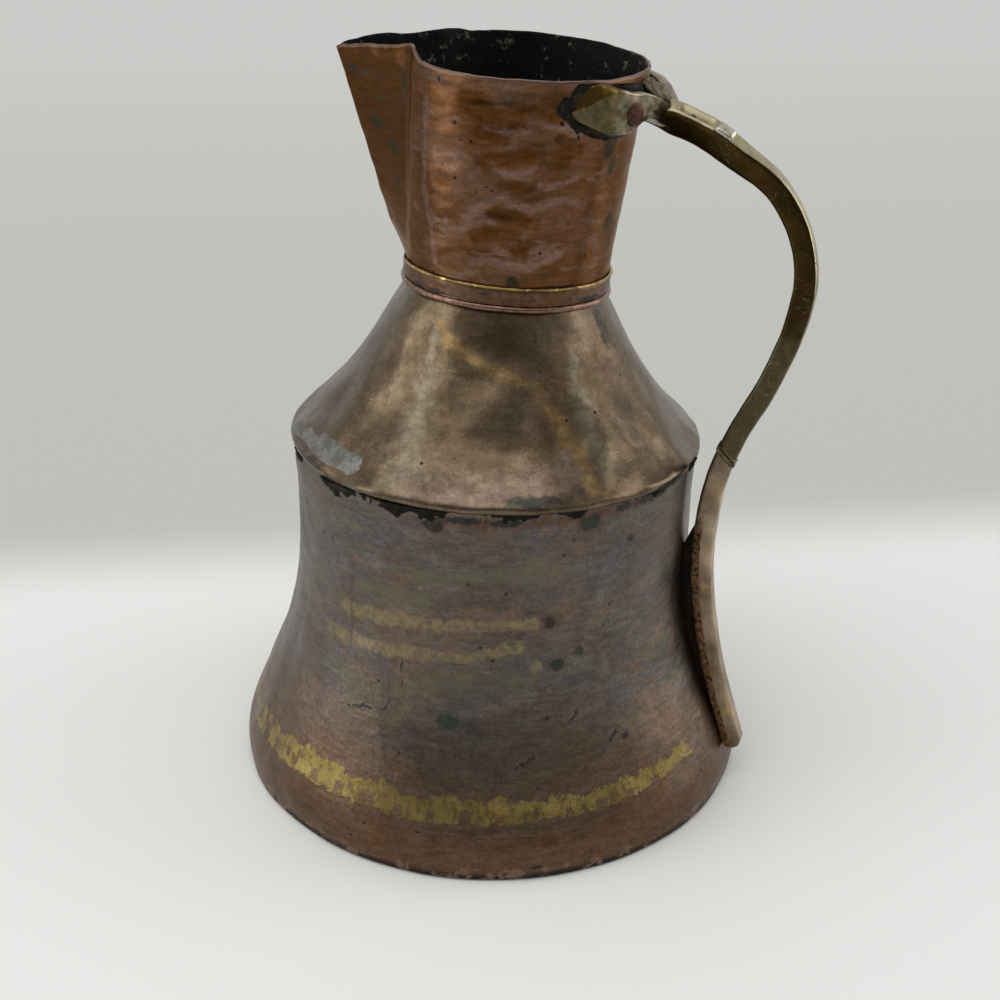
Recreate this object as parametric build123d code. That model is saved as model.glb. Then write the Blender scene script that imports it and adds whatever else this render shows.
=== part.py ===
from build123d import *
import os
from functools import cache
from math import acos, atan2, cos, radians, sin, tan

# Copper pitcher, in millimetres. The origin is the centre of the base on the surface it stands on,
# +Z is up, +X points to the side that carries the handle, and the spout is on the other side.

# Sheet and fits
sheet = 1.2                       # copper sheet of the walls
hole_gap = 0.05                   # clearance of a rivet in its hole
hole_reach = 30.0                 # length of the tools that cut the holes

# Lower body, a concave skirt: outer radius and height at the foot, flare, hip, waist and mouth
foot_radius = 110.0
foot_height = 9.0
flare_radius = 101.6
flare_height = 33.0
hip_radius = 90.6
hip_height = 60.0
waist_radius = 82.4
waist_height = 116.0
mouth_radius = 83.0
body_height = 148.5
foot_draw = 0.1                   # slopes of the wall over the foot and at the mouth
mouth_flare = 0.03

# Cramped base seam: tabs of the base pan, locked in brass over the thinned edge of the body
seam_bottom = 21.5
seam_height = 14.5
seam_layer = 0.6                  # depth of the tabs and of the brass
seam_lap = 2.5                    # how far the body's edge reaches down behind the pan
tab_count = 48
tab_width = 7.2
tab_height = 8.6

# Lean of the upper parts, and the way they lean
lean_azimuth = 20.0
lip_lean = 0.9
lip_tilt = 1.2
collar_lean = 4.2
neck_tilt = 3.8
neck_turn = 8.0                   # turn of the neck on the body

# Shoulder: outer radius at its lip, up the hollow cone, and at its upright top
lip_radius = 84.7
lip_depth = 2.2
lip_roll = 0.7
cone_shares = (0.12, 0.31, 0.56, 0.80, 0.97)
cone_radii = (77.4, 66.4, 54.9, 46.2, 40.2)
collar_height = 210.8             # height of the collar's bead above the base
cone_drop = 0.8                   # drop of the cone's inside for each unit of its inset
flange_radius = 38.9
flange_height = 4.5
flange_root = 3.0                 # how far the upright top reaches down into the cone

# Collar and its brass wire, measured up the neck's axis from the collar's bead
collar_radius = 40.5
collar_sheet = 1.0
collar_band = 7.6
bead_radius = 1.3
wire_height = 1.7
wire_reach = 1.5                  # how far the wire stands out from the neck
wire_gap = 0.05
wire_break = 28.0                 # angle from the spout's middle to each end of the wire

# Neck, with the spout folded from the same sheet
neck_top_radius = 47.2
neck_rise = 86.5                  # from the collar's bead to the middle of the mouth
neck_overrun = 14.0               # sheet above the mouth that is trimmed away
spout_foot_reach = 42.8
spout_top_reach = 74.6
spout_belly = 1.7                 # bow of the spout's front, and the share of the height that it is at
spout_belly_share = 0.14
spout_foot_angle = 26.0           # angle from the spout's middle to each crease
spout_top_angle = 36.0
spout_foot_nose = 1.75            # radius of the fold along the spout's front
spout_top_nose = 5.0
crease_depth = 2.2
crease_turn = 6.5                 # angle over which the wall turns in to the crease
rim_tilt = 5.2
rim_azimuth = -31.0
spout_crown = 3.4                 # height of the spout's edge over the rim, at the crease
spout_fall = 9.0                  # slope of the spout's edge, in degrees

# Handle: middle line of the bar and of the strap, seen from the side, as distance out and height
bar_line = [(50.0, 280.4), (64.0, 279.4), (80.0, 275.2), (91.0, 268.2), (107.4, 255.0),
            (118.4, 236.5), (121.4, 221.0), (119.6, 206.0), (112.0, 181.8), (101.8, 159.2)]
strap_line = [(96.9, 145.4), (93.4, 128.0), (92.3, 104.0), (96.0, 73.0), (103.9, 42.0), (111.2, 20.5)]
stem_depth = 11.4
stem_share = 0.12                 # part of the length over which the stem thins to the bar
bar_depth = 8.6
bar_width = 7.6
bar_rounding = 1.5
handle_stations = 28              # places where the depth of the bar is set
bar_lean = 3.66                   # sideways lean of the bar, in degrees
scarf_point = (99.0, 150.0)
scarf_slope = 43.0
scarf_gap = 1.2
scarf_proud = 0.45
slot_start = 20.8                 # lengths along the bar from its start
slot_end = 35.0
slot_width = 1.3
slot_depth = 1.8
lap_place = 39.9
lap_length = 6.4
lap_width = 4.6
lap_depth = 1.2
lap_proud = 0.48

# Fork: two leaf wings that clasp the neck, and their rivets
wing_depth = 3.6
wing_rise = 72.6                  # height of the fork's root above the collar's bead
near_leaf_rise = 73.4
far_leaf_rise = 76.5
near_leaf_azimuth = -32.5
far_leaf_azimuth = 44.0
leaf_length = 25.5
leaf_height = 10.4
leaf_broad = 0.25                 # place of the broadest part, as a share of half the length
leaf_bow = (0.45, 0.93)           # point of the leaf's arc, as shares of half the length and height
leaf_root_height = 7.6
leaf_bevel = 24.0
leaf_standoff = 1.5
leaf_reach = 14.0
band_share = 0.7                  # share of the leaf's azimuth that the band runs round
shank_height = 10.8
shank_reach = 60.5
shank_spread = 10.5
shank_proud = 1.8
shank_shoulder = 2.0              # straight part of the shank's side, beyond the neck's wall
near_rivet_azimuth = -20.0
near_rivet_rise = 72.3
far_rivet_azimuth = 40.0
far_rivet_rise = 79.7
rivet_radius = 2.3
head_radius = 4.8
head_depth = 1.3
head_bevel = 0.8
tail_radius = 3.8
tail_depth = 1.0

# Solder
wing_solder_margin = 1.9
wing_solder_tip = 1.4             # how much wider the solder is at the tip of the leaf
wing_solder_depth = 0.9
crust_reach = 8.0
crust_height = 4.0
crust_spread = 11.0
strap_solder_width = 5.4
strap_solder_top = 104.0
strap_solder_bottom = 16.0
strap_solder_stations = 8         # places where the solder's line is set
lip_solder_height = 3.0
lip_solder_depth = 0.8
patch_azimuth = 238.0
patch_length = 44.0
patch_height = 11.0
patch_rise = 3.6
patch_depth = 0.5

ample = 4 * foot_radius           # longer than the whole pitcher, for cutting blocks

os.makedirs("parts", exist_ok=True)


def blend(low, high, share):
    return low + (high - low) * share


def leaned_point(shift, height):
    """Point of the pitcher's leaning axis."""
    return Vector(shift * cos(radians(lean_azimuth)), shift * sin(radians(lean_azimuth)), height)


def leaning_plane(origin, tilt, azimuth, turn=0.0):
    """Plane whose normal leans by tilt towards azimuth, with its X axis turned about Z."""
    normal = Vector(sin(radians(tilt)) * cos(radians(azimuth)),
                    sin(radians(tilt)) * sin(radians(azimuth)), cos(radians(tilt)))
    ahead = Vector(cos(radians(turn)), sin(radians(turn)), 0)
    return Plane(origin=origin, x_dir=ahead - normal * ahead.dot(normal), z_dir=normal)


lip_plane = leaning_plane(leaned_point(lip_lean, body_height), lip_tilt, lean_azimuth)
neck_plane = leaning_plane(leaned_point(collar_lean, collar_height), neck_tilt, lean_azimuth, neck_turn)


def in_neck(shape):
    """Moves a piece drawn upright about the neck's own axis to its leaning place."""
    return neck_plane.location * shape


def below(plane):
    """Large block under a plane."""
    return plane.location * Pos(0, 0, -ample / 2) * Box(ample, ample, ample)


def above(plane):
    """Large block over a plane."""
    return plane.location * Pos(0, 0, ample / 2) * Box(ample, ample, ample)


@cache
def body_blank(inset, low=0.0, high=body_height + lip_depth):
    """Solid under the skirt's outline, drawn in by inset, between two heights."""
    head = body_height + lip_depth
    foot = Line((foot_radius - inset, 0, 0), (foot_radius - inset, 0, foot_height))
    wall = Spline(
        (foot_radius - inset, 0, foot_height),
        (flare_radius - inset, 0, flare_height),
        (hip_radius - inset, 0, hip_height),
        (waist_radius - inset, 0, waist_height),
        (mouth_radius - inset, 0, head),
        tangents=((-foot_draw, 0, 1), (mouth_flare, 0, 1)),
    )
    rest = Polyline((mouth_radius - inset, 0, head), (0, 0, head), (0, 0, 0), (foot_radius - inset, 0, 0))
    whole = revolve(make_face([foot, wall, rest]), Axis.Z)
    return whole & Pos(0, 0, (low + high) / 2) * Box(ample, ample, high - low)


def wall_layer(outer, inner, low, high):
    """Part of the skirt's wall between two depths and two heights."""
    return body_blank(outer, low, high) - body_blank(inner, low, high)


@cache
def seam_tabs():
    """Tabs that stand on the pan's wall, all round."""
    middle = (flare_radius + foot_radius) / 2
    height = seam_bottom + tab_height / 2
    block = Pos(middle, 0, height) * Box(middle, tab_width, tab_height)
    blocks = [Rot(0, 0, 360 * step / tab_count) * block for step in range(tab_count)]
    ring = wall_layer(0, seam_layer, seam_bottom, seam_bottom + tab_height)
    return ring & Compound(children=blocks)


def base_pan():
    """Flat base with its upright wall, whose edge is cut into tabs over the body's thinned edge."""
    lap_low = seam_bottom - seam_lap
    pan = body_blank(0, high=seam_bottom) - body_blank(sheet, sheet, seam_bottom)
    return pan - wall_layer(seam_layer, sheet, lap_low, seam_bottom) + seam_tabs()


def base_seam_braze():
    """Brass that fills the seam between and above the tabs, flush with the wall."""
    return wall_layer(0, seam_layer, seam_bottom, seam_bottom + seam_height) - seam_tabs()


def lower_body():
    """Skirt from the seam to the shoulder, its lower edge thinned and tucked behind the seam."""
    seam_top = seam_bottom + seam_height
    wall = wall_layer(0, sheet, seam_top, body_height + lip_depth)
    edge = wall_layer(seam_layer, sheet, seam_bottom - seam_lap, seam_top)
    return (wall + edge) & below(lip_plane)


@cache
def shoulder_blank(growth, top):
    """Solid under the shoulder's outline, moved out by growth, up to a height over the bead."""
    rise = collar_height - body_height
    outline = [(-lip_depth, lip_radius - lip_roll), (0.0, lip_radius)]
    outline += [(rise * share, radius) for share, radius in zip(cone_shares, cone_radii)]
    sections = []
    for height, radius in outline:
        share = max(height / rise, 0)
        centre = leaned_point(blend(lip_lean, collar_lean, share), body_height + height)
        plane = leaning_plane(centre, blend(lip_tilt, neck_tilt, share), lean_azimuth)
        sections.append(plane.location * Pos(0, 0, growth * cone_drop) * Circle(radius + growth))
    root = (cone_shares[-1] - 1) * rise + growth * cone_drop - flange_root
    stub = Pos(0, 0, (root + top) / 2) * Cylinder(flange_radius + growth, top - root)
    return loft(sections) + in_neck(stub)


def shoulder():
    """Hollow cone whose lip laps over the body and whose top stands up inside the neck."""
    shell = shoulder_blank(0, flange_height) - shoulder_blank(-sheet, flange_height + sheet)
    return shell - (body_blank(0) & below(lip_plane))


def shoulder_solder():
    """Band of solder on the body, right under the shoulder's lip."""
    under_lip = leaning_plane(leaned_point(lip_lean, body_height - lip_depth), lip_tilt, lean_azimuth)
    low = body_height - lip_depth - lip_solder_height
    return wall_layer(-lip_solder_depth, 0, low, body_height) & below(under_lip)


def lip_tin_patch():
    """Thin patch of tin solder wiped over the shoulder's lip."""
    skin = shoulder_blank(patch_depth, 0) - shoulder_blank(0, 0)
    spot = Rot(0, 0, patch_azimuth) * Pos(lip_radius, 0, body_height + patch_rise) * Rot(0, 90, 0)
    prism = spot * extrude(Ellipse(patch_height / 2, patch_length / 2), lip_radius / 2, both=True)
    return skin & prism


def ring_band(inner, outer, low, high):
    return Pos(0, 0, (low + high) / 2) * (Cylinder(outer, high - low) - Cylinder(inner, high - low))


def neck_collar():
    """Band over the joint of neck and shoulder, with a rolled bead along its lower edge."""
    outer = collar_radius + collar_sheet
    band = ring_band(collar_radius, outer, 0, collar_band)
    rolled = Torus(outer - bead_radius / 2, bead_radius) - Cylinder(collar_radius, collar_band)
    return in_neck(band + rolled) - shoulder_blank(0, 0)


def collar_wire():
    """Bright brass bead along the collar's top edge, against the neck and open at the spout."""
    foot, head = collar_band, collar_band + wire_height
    inner_foot, inner_head = wall_radius(foot) + wire_gap, wall_radius(head) + wire_gap
    outer = inner_foot + wire_reach
    bulge = (blend(inner_foot, outer, sin(radians(45))), 0, foot + wire_height * sin(radians(45)))
    profile = make_face([
        Line((inner_foot, 0, foot), (outer, 0, foot)),
        ThreePointArc((outer, 0, foot), bulge, (inner_head, 0, head)),
        Line((inner_head, 0, head), (inner_foot, 0, foot)),
    ])
    arc = 360 - 2 * wire_break
    return in_neck(Rot(0, 0, -arc / 2) * revolve(profile, Axis.Z, arc))


def neck_section(height, growth):
    """Outline of the neck with its spout, at a height above the collar's bead."""
    share = (height - collar_band) / (neck_rise - collar_band)
    radius = blend(collar_radius, neck_top_radius, share) + growth
    nose = blend(spout_foot_nose, spout_top_nose, share) + growth
    belly = spout_belly * min(share / spout_belly_share, (1 - share) / (1 - spout_belly_share))
    nose_centre = Vector(blend(spout_foot_reach, spout_top_reach, share) + belly + growth - nose, 0)
    crease = radians(blend(spout_foot_angle, spout_top_angle, share))
    bend = crease + radians(crease_turn)
    root = Vector(cos(crease), sin(crease)) * (radius - crease_depth * share)
    turn_in = Vector(cos(bend), sin(bend)) * radius
    towards = root - nose_centre
    swing = atan2(towards.Y, towards.X) - acos(nose / towards.length)
    touch = nose_centre + Vector(cos(swing), sin(swing)) * nose
    front = nose_centre + Vector(nose, 0)
    half = [turn_in, root, touch]
    other = [Vector(point.X, -point.Y) for point in half]
    edges = [
        ThreePointArc(other[0], (-radius, 0), half[0]),
        Line(half[0], half[1]),
        Line(half[1], half[2]),
        ThreePointArc(half[2], front, other[2]),
        Line(other[2], other[1]),
        Line(other[1], other[0]),
    ]
    return Pos(0, 0, height) * Rot(0, 0, 180) * make_face(edges)


@cache
def neck_blank(growth):
    """Solid inside the neck's outline, moved out by growth, before the mouth is trimmed."""
    belly_rise = blend(collar_band, neck_rise, spout_belly_share)
    rises = [collar_band, belly_rise, neck_rise + neck_overrun]
    cone = loft([neck_section(rise, growth) for rise in rises], ruled=True)
    stub = Pos(0, 0, collar_band / 2) * Cylinder(collar_radius + growth, collar_band)
    return in_neck(cone + stub)


def neck():
    """Flared neck of one sheet with its folded spout, trimmed along the rim and the spout's edge."""
    shell = neck_blank(0) - neck_blank(-sheet)
    mouth = in_neck(Location((0, 0, neck_rise))).position
    crease_out = (neck_top_radius - crease_depth) * cos(radians(spout_top_angle))
    rim = leaning_plane(mouth, rim_tilt, rim_azimuth)
    crest = in_neck(Location((-crease_out, 0, neck_rise + spout_crown))).position
    edge = leaning_plane(crest, spout_fall, 180 + neck_turn)
    spout_side = in_neck(Pos(-crease_out - ample / 2, 0, 0) * Box(ample, ample, ample))
    trimmed = ((shell - spout_side) & below(rim)) + ((shell & spout_side) & below(edge))
    holes = [rivet_hole(near_rivet_azimuth, near_rivet_rise), rivet_hole(far_rivet_azimuth, far_rivet_rise)]
    return trimmed - holes


def handle_depth(share):
    """Depth of the bar at a share of its length."""
    return blend(stem_depth, bar_depth, min(share / stem_share, 1))


@cache
def handle_middle():
    """Middle line of bar and strap, seen from the side."""
    return Spline(*[Vector(out, height) for out, height in bar_line + strap_line])


@cache
def handle_blank(growth=0.0):
    """Whole bar and strap in the pitcher's middle plane, with rounded long edges."""
    middle = handle_middle()
    upper, lower = [], []
    for step in range(handle_stations + 1):
        share = step / handle_stations
        along = middle.tangent_at(share)
        across = Vector(-along.Y, along.X) * (handle_depth(share) / 2 + growth)
        upper.append(middle.position_at(share) + across)
        lower.append(middle.position_at(share) - across)
    end = middle.position_at(1) + middle.tangent_at(1) * (bar_depth / 2 + growth)
    outline = [Spline(*upper), ThreePointArc(upper[-1], end, lower[-1]), Spline(*lower),
               Line(upper[0], lower[0])]
    bar = extrude(make_face(outline), bar_width / 2 + growth, both=True)
    long_edges = bar.edges().filter_by(GeomType.BSPLINE)
    return Rot(90, 0, 0) * fillet(long_edges, bar_rounding)


def scarf_plane(shift):
    """Slanted joint of bar and strap, moved up by shift."""
    slope = radians(scarf_slope)
    normal = Vector(sin(slope), 0, cos(slope))
    return Plane(origin=Vector(scarf_point[0], 0, scarf_point[1]) + normal * shift, z_dir=normal)


def lean_bar(shape):
    """Leans the bar sideways about the scarf."""
    return Pos(0, 0, scarf_point[1]) * Rot(-bar_lean, 0, 0) * Pos(0, 0, -scarf_point[1]) * shape


def on_bar(length):
    """Place on the bar's upper face, a length along it from its start, before it is leaned."""
    middle = handle_middle()
    share = length / middle.length
    along = middle.tangent_at(share)
    across = Vector(-along.Y, along.X)
    point = middle.position_at(share) + across * (handle_depth(share) / 2)
    return Plane(origin=(point.X, 0, point.Y), x_dir=(along.X, 0, along.Y),
                 z_dir=(across.X, 0, across.Y)).location


def lap_block():
    return on_bar(lap_place) * Pos(0, 0, lap_proud - lap_depth / 2) * Box(lap_length, lap_width, lap_depth)


def stem_lap():
    """Small plate let into the top of the bar at the end of the slot."""
    return lean_bar(lap_block())


@cache
def bar_solid():
    """Bar above the scarf in its leaning place, cut to the neck."""
    bar = handle_blank() & above(scarf_plane(scarf_gap / 2))
    return lean_bar(bar) - neck_blank(0)


def handle_bar():
    """Brass bar with the forged slot along its stem and the seat of the small plate."""
    slot = on_bar((slot_start + slot_end) / 2) * Box(slot_end - slot_start, slot_width, 2 * slot_depth)
    return bar_solid() - lean_bar(slot) - stem_lap()


@cache
def handle_strap():
    """Lower strap that runs down the body to its rounded end."""
    return (handle_blank() & below(scarf_plane(-scarf_gap / 2))) - body_blank(0)


def scarf_braze():
    """Bright braze in the slanted joint, standing a little proud all round."""
    lower, upper = scarf_plane(-scarf_gap / 2), scarf_plane(scarf_gap / 2)
    return (handle_blank(scarf_proud) & above(lower) & below(upper)) - bar_solid()


def leaf_prism(azimuth, rise, margin=0.0):
    """Leaf outline set against the neck, widening inwards so that its sides are bevelled."""
    tip = leaf_length / 2 + margin * wing_solder_tip
    half = leaf_height / 2 + margin
    root = leaf_root_height / 2 + margin
    broad = -tip * leaf_broad
    bow_along, bow_across = tip * leaf_bow[0], half * leaf_bow[1]
    leaf = make_face([
        ThreePointArc((tip, 0), (bow_along, bow_across), (broad, half)),
        Line((broad, half), (-tip, root)),
        Line((-tip, root), (-tip, -root)),
        Line((-tip, -root), (broad, -half)),
        ThreePointArc((broad, -half), (bow_along, -bow_across), (tip, 0)),
    ])
    side = 1 if azimuth > 0 else -1
    out = wall_radius(rise) + wing_depth + leaf_standoff
    around = Vector(-sin(radians(azimuth)), cos(radians(azimuth)), 0) * side
    inward = Vector(-cos(radians(azimuth)), -sin(radians(azimuth)), 0)
    plane = Plane(origin=inward * -out + Vector(0, 0, rise), x_dir=around, z_dir=inward)
    return extrude(plane.location * leaf, leaf_reach, taper=-leaf_bevel)


def wall_radius(rise):
    """Outer radius of the neck at a height over the collar's bead."""
    return blend(collar_radius, neck_top_radius, (rise - collar_band) / (neck_rise - collar_band))


def wing(azimuth, leaf_rise, rivet_azimuth, rivet_rise):
    """One wing of the fork: leaf, band round the neck and shank beside the stem."""
    side = 1 if azimuth > 0 else -1
    half = shank_height / 2
    shell = neck_blank(wing_depth) - neck_blank(0)
    leaf = shell & in_neck(leaf_prism(azimuth, leaf_rise))
    reach = wall_radius(leaf_rise) * sin(radians(azimuth * band_share))
    out = neck_plane.origin.X + shank_reach
    stem_point = Vector(out, tan(radians(bar_lean)) * (bar_line[0][1] - scarf_point[1]), bar_line[0][1])
    stem_side = neck_plane.to_local_coords(stem_point).Y
    band = side_prism([(stem_side, wing_rise - half), (reach, leaf_rise - half), (reach, leaf_rise + half),
                       (stem_side, wing_rise + half)], 2 * neck_top_radius)
    face = stem_side + side * (bar_width / 2 + shank_proud)
    wide = side * shank_spread
    shoulder_reach = wall_radius(wing_rise) + shank_shoulder
    plan = Polyline((collar_radius, stem_side), (collar_radius, wide), (shoulder_reach, wide),
                    (shank_reach, face), (shank_reach, stem_side), close=True)
    shank = Pos(0, 0, wing_rise - half) * extrude(make_face(plan), shank_height)
    whole = leaf + (shell & in_neck(band)) + (in_neck(shank) - neck_blank(0))
    return whole - bar_solid() - rivet_hole(rivet_azimuth, rivet_rise)


def side_prism(points, length):
    """Block over an outline of sideways place and height, extruded out from the neck's axis."""
    face = make_face(Polyline(*points, close=True))
    return Rot(0, 0, 90) * Rot(90, 0, 0) * extrude(face, length)


def on_neck(azimuth, rise, out):
    """Place on a radius of the neck, with Z pointing out along it."""
    return Rot(0, 0, azimuth) * Pos(out, 0, rise) * Rot(0, 90, 0)


def rivet_hole(azimuth, rise):
    drill = Cylinder(rivet_radius + hole_gap, hole_reach)
    return in_neck(on_neck(azimuth, rise, wall_radius(rise)) * drill)


def rivet(azimuth, rise):
    """Copper rivet through a wing and the neck, with its head outside and its tail inside."""
    wall = wall_radius(rise)
    inner = wall - sheet - tail_depth
    outer = wall + wing_depth + head_depth
    shank = on_neck(azimuth, rise, (inner + outer) / 2) * Cylinder(rivet_radius, outer - inner)
    head = Cylinder(head_radius, wing_depth + head_depth)
    head = chamfer(head.edges().group_by(Axis.Z)[-1], head_bevel)
    head = on_neck(azimuth, rise, (wall + outer) / 2) * head
    tail = on_neck(azimuth, rise, (wall + inner) / 2) * Cylinder(tail_radius, wall - inner)
    return in_neck(shank) + (in_neck(head) - neck_blank(wing_depth)) + (in_neck(tail) & neck_blank(-sheet))


def wing_solder(azimuth, leaf_rise, rivet_azimuth, rivet_rise, wing_solid):
    """Black solder that shows as a border round a leaf."""
    skin = neck_blank(wing_solder_depth) - neck_blank(0)
    border = skin & in_neck(leaf_prism(azimuth, leaf_rise, wing_solder_margin))
    return border - wing_solid - rivet_hole(rivet_azimuth, rivet_rise)


def rim_solder(neighbours):
    """Crust of solder in the corner between the neck and the top of the shanks."""
    foot = wing_rise + shank_height / 2
    wall = wall_radius(foot)
    outline = Polyline((wall - sheet, foot), (wall + crust_reach, foot),
                       (wall + crust_height / 2, foot + crust_height), (wall - sheet, foot + crust_height),
                       close=True)
    crust = in_neck(Rot(90, 0, 0) * extrude(make_face(outline), crust_spread, both=True))
    crust = crust - neck_blank(0) - bar_solid()
    for solid in neighbours:
        crust = crust - solid
    return crust


def strap_solder():
    """Solder that fills the gap between the strap and the body."""
    middle = handle_middle()
    start_share = middle.param_at_point(Vector(*strap_line[0]))
    steps = range(strap_solder_stations + 1)
    shares = [blend(start_share, 1, step / strap_solder_stations) for step in steps]
    line = Spline(*[middle.position_at(share) for share in shares])
    start, end = line.position_at(0), line.position_at(1)
    back = Polyline(end, (0, end.Y), (0, start.Y), start)
    web = Rot(90, 0, 0) * extrude(make_face([line, back]), strap_solder_width / 2, both=True)
    height = strap_solder_top - strap_solder_bottom
    slab = Pos(0, 0, strap_solder_bottom + height / 2) * Box(ample, ample, height)
    return (web & slab) - body_blank(0) - handle_strap()


def solids_of(shape):
    """The shape as one solid, or as a group of its solids."""
    found = shape.solids()
    return found[0] if len(found) == 1 else Compound(children=list(found))


near_rivet_place = (near_rivet_azimuth, near_rivet_rise)
far_rivet_place = (far_rivet_azimuth, far_rivet_rise)
near_wing = wing(near_leaf_azimuth, near_leaf_rise, *near_rivet_place)
far_wing = wing(far_leaf_azimuth, far_leaf_rise, *far_rivet_place)
near_solder = wing_solder(near_leaf_azimuth, near_leaf_rise, *near_rivet_place, near_wing)
far_solder = wing_solder(far_leaf_azimuth, far_leaf_rise, *far_rivet_place, far_wing)

nodes = {
    "base_pan": base_pan(),
    "base_seam_braze": base_seam_braze(),
    "lower_body": lower_body(),
    "shoulder": shoulder(),
    "shoulder_solder": shoulder_solder(),
    "lip_tin_patch": lip_tin_patch(),
    "neck_collar": neck_collar(),
    "collar_wire": collar_wire(),
    "neck_and_spout": neck(),
    "handle_bar": handle_bar(),
    "stem_lap": stem_lap(),
    "scarf_braze": scarf_braze(),
    "handle_strap": handle_strap(),
    "strap_solder": strap_solder(),
    "fork_wing_near": near_wing,
    "fork_wing_far": far_wing,
    "wing_rivet_near": rivet(*near_rivet_place) - near_wing,
    "wing_rivet_far": rivet(*far_rivet_place) - far_wing,
    "wing_solder_near": near_solder,
    "wing_solder_far": far_solder,
    "rim_solder": rim_solder([near_wing, far_wing, near_solder, far_solder]),
}

for name, shape in nodes.items():
    export_step(solids_of(shape), "parts/" + name + ".step")
    print(name, round(shape.volume / 1000, 2), "cm3")
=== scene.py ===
from math import acos, atan2, cos, pi, radians, sin

import bmesh
import bpy
import numpy as np
from bpy.props import FloatProperty, FloatVectorProperty, IntProperty, PointerProperty
from bpy.types import NodeSocket, Operator, Panel, PropertyGroup
from mathutils import Matrix, Vector, noise


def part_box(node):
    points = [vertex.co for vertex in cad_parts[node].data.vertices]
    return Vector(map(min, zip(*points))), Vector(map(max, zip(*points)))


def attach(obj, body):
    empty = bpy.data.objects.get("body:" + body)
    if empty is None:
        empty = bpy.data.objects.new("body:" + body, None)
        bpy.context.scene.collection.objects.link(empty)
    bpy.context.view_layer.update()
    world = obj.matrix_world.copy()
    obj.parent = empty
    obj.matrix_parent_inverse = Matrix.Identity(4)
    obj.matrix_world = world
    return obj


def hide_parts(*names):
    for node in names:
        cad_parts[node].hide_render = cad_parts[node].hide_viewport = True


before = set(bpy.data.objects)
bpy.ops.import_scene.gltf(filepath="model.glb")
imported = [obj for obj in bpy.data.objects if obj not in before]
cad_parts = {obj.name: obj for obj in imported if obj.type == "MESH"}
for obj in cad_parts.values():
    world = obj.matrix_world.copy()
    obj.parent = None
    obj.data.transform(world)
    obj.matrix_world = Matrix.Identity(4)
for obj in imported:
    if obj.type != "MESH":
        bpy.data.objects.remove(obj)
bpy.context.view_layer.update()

bl_info = {
    "name": "Copper Pitcher",
    "version": (1, 0, 0),
    "blender": (4, 5, 0),
    "location": "3D View > Sidebar > Pitcher",
    "description": "Beaten copper pitcher with a brass seam, a folded spout, a bar handle and its studio",
    "category": "Add Mesh",
}

# The frame is the imported part's: the origin is the centre of the base, +X points to the handle and +Z is up.
# Lengths are in metres. Tables of stains, painted shade and highlights, stations and edges are in millimetres,
# and say so.
MM = 0.001
FOOT_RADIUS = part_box("base_pan")[1][0]
WHOLE_TURN = 2 * pi


def length(about, value):
    """Length that is given in millimetres and kept in metres."""
    return FloatProperty(description=about, default=value * MM, unit="LENGTH", precision=5)


def angle(about, value):
    """Angle that is given in degrees and kept in radians."""
    return FloatProperty(description=about, default=radians(value), unit="ROTATION")


def share(about, value):
    return FloatProperty(description=about, default=value, subtype="FACTOR", min=0, max=1)


def colour(about, value):
    return FloatVectorProperty(description=about, default=value, subtype="COLOR", min=0, max=1)


class SkirtSettings(PropertyGroup):
    """Sizes of the concave lower body and its base."""
    sheet: length("Thickness of the copper sheet", 1.2)
    foot_radius: length("Outer radius at the foot", FOOT_RADIUS / MM)
    foot_height: length("Height of the upright foot", 9.0)
    flare_radius: length("Outer radius at the seam", 101.6)
    flare_height: length("Height of that radius", 33.0)
    hip_radius: length("Outer radius at the hip", 90.6)
    hip_height: length("Height of the hip", 60.0)
    waist_radius: length("Outer radius at the waist", 82.4)
    waist_height: length("Height of the waist", 116.0)
    mouth_radius: length("Outer radius under the shoulder", 83.0)
    height: length("Height of the shoulder's lip", 148.5)
    waves: length("Depth of the slow waves in the sheet", 0.55)
    dents: length("Depth of the dents", 0.28)
    marks: length("Depth of the hammer marks", 0.16)


class SeamSettings(PropertyGroup):
    """Sizes of the tabbed brass seam."""
    bottom: length("Height of the seam's lower edge", 21.5)
    height: length("Height of the brass", 14.5)
    layer: length("Depth of the tabs and of the brass", 0.6)
    lap: length("How far the body reaches down behind the pan", 2.5)
    tabs: IntProperty(description="Tabs round the pan", default=48, min=3)
    tab_width: length("Width of a tab", 7.2)
    tab_height: length("Height of a tab", 8.6)
    proud: length("How far the brass stands over the copper", 0.14)


class ShoulderSettings(PropertyGroup):
    """Sizes of the hollow cone and of the lean of what stands on the body."""
    lean_azimuth: angle("The way the upper parts lean", 20.0)
    lip_shift: length("Shift of the lip's centre", 0.9)
    lip_tilt: angle("Tilt of the lip", 1.2)
    collar_shift: length("Shift of the collar's centre", 4.2)
    neck_tilt: angle("Tilt of the neck", 3.8)
    neck_turn: angle("Turn of the neck on the body", 8.0)
    collar_height: length("Height of the collar's bead", 210.8)
    lip_radius: length("Outer radius of the lip", 84.7)
    lip_depth: length("How far the lip laps over the body", 2.2)
    waves: length("Depth of the slow waves", 0.5)
    dents: length("Depth of the dents", 0.35)
    marks: length("Depth of the hammer marks", 0.12)


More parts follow.
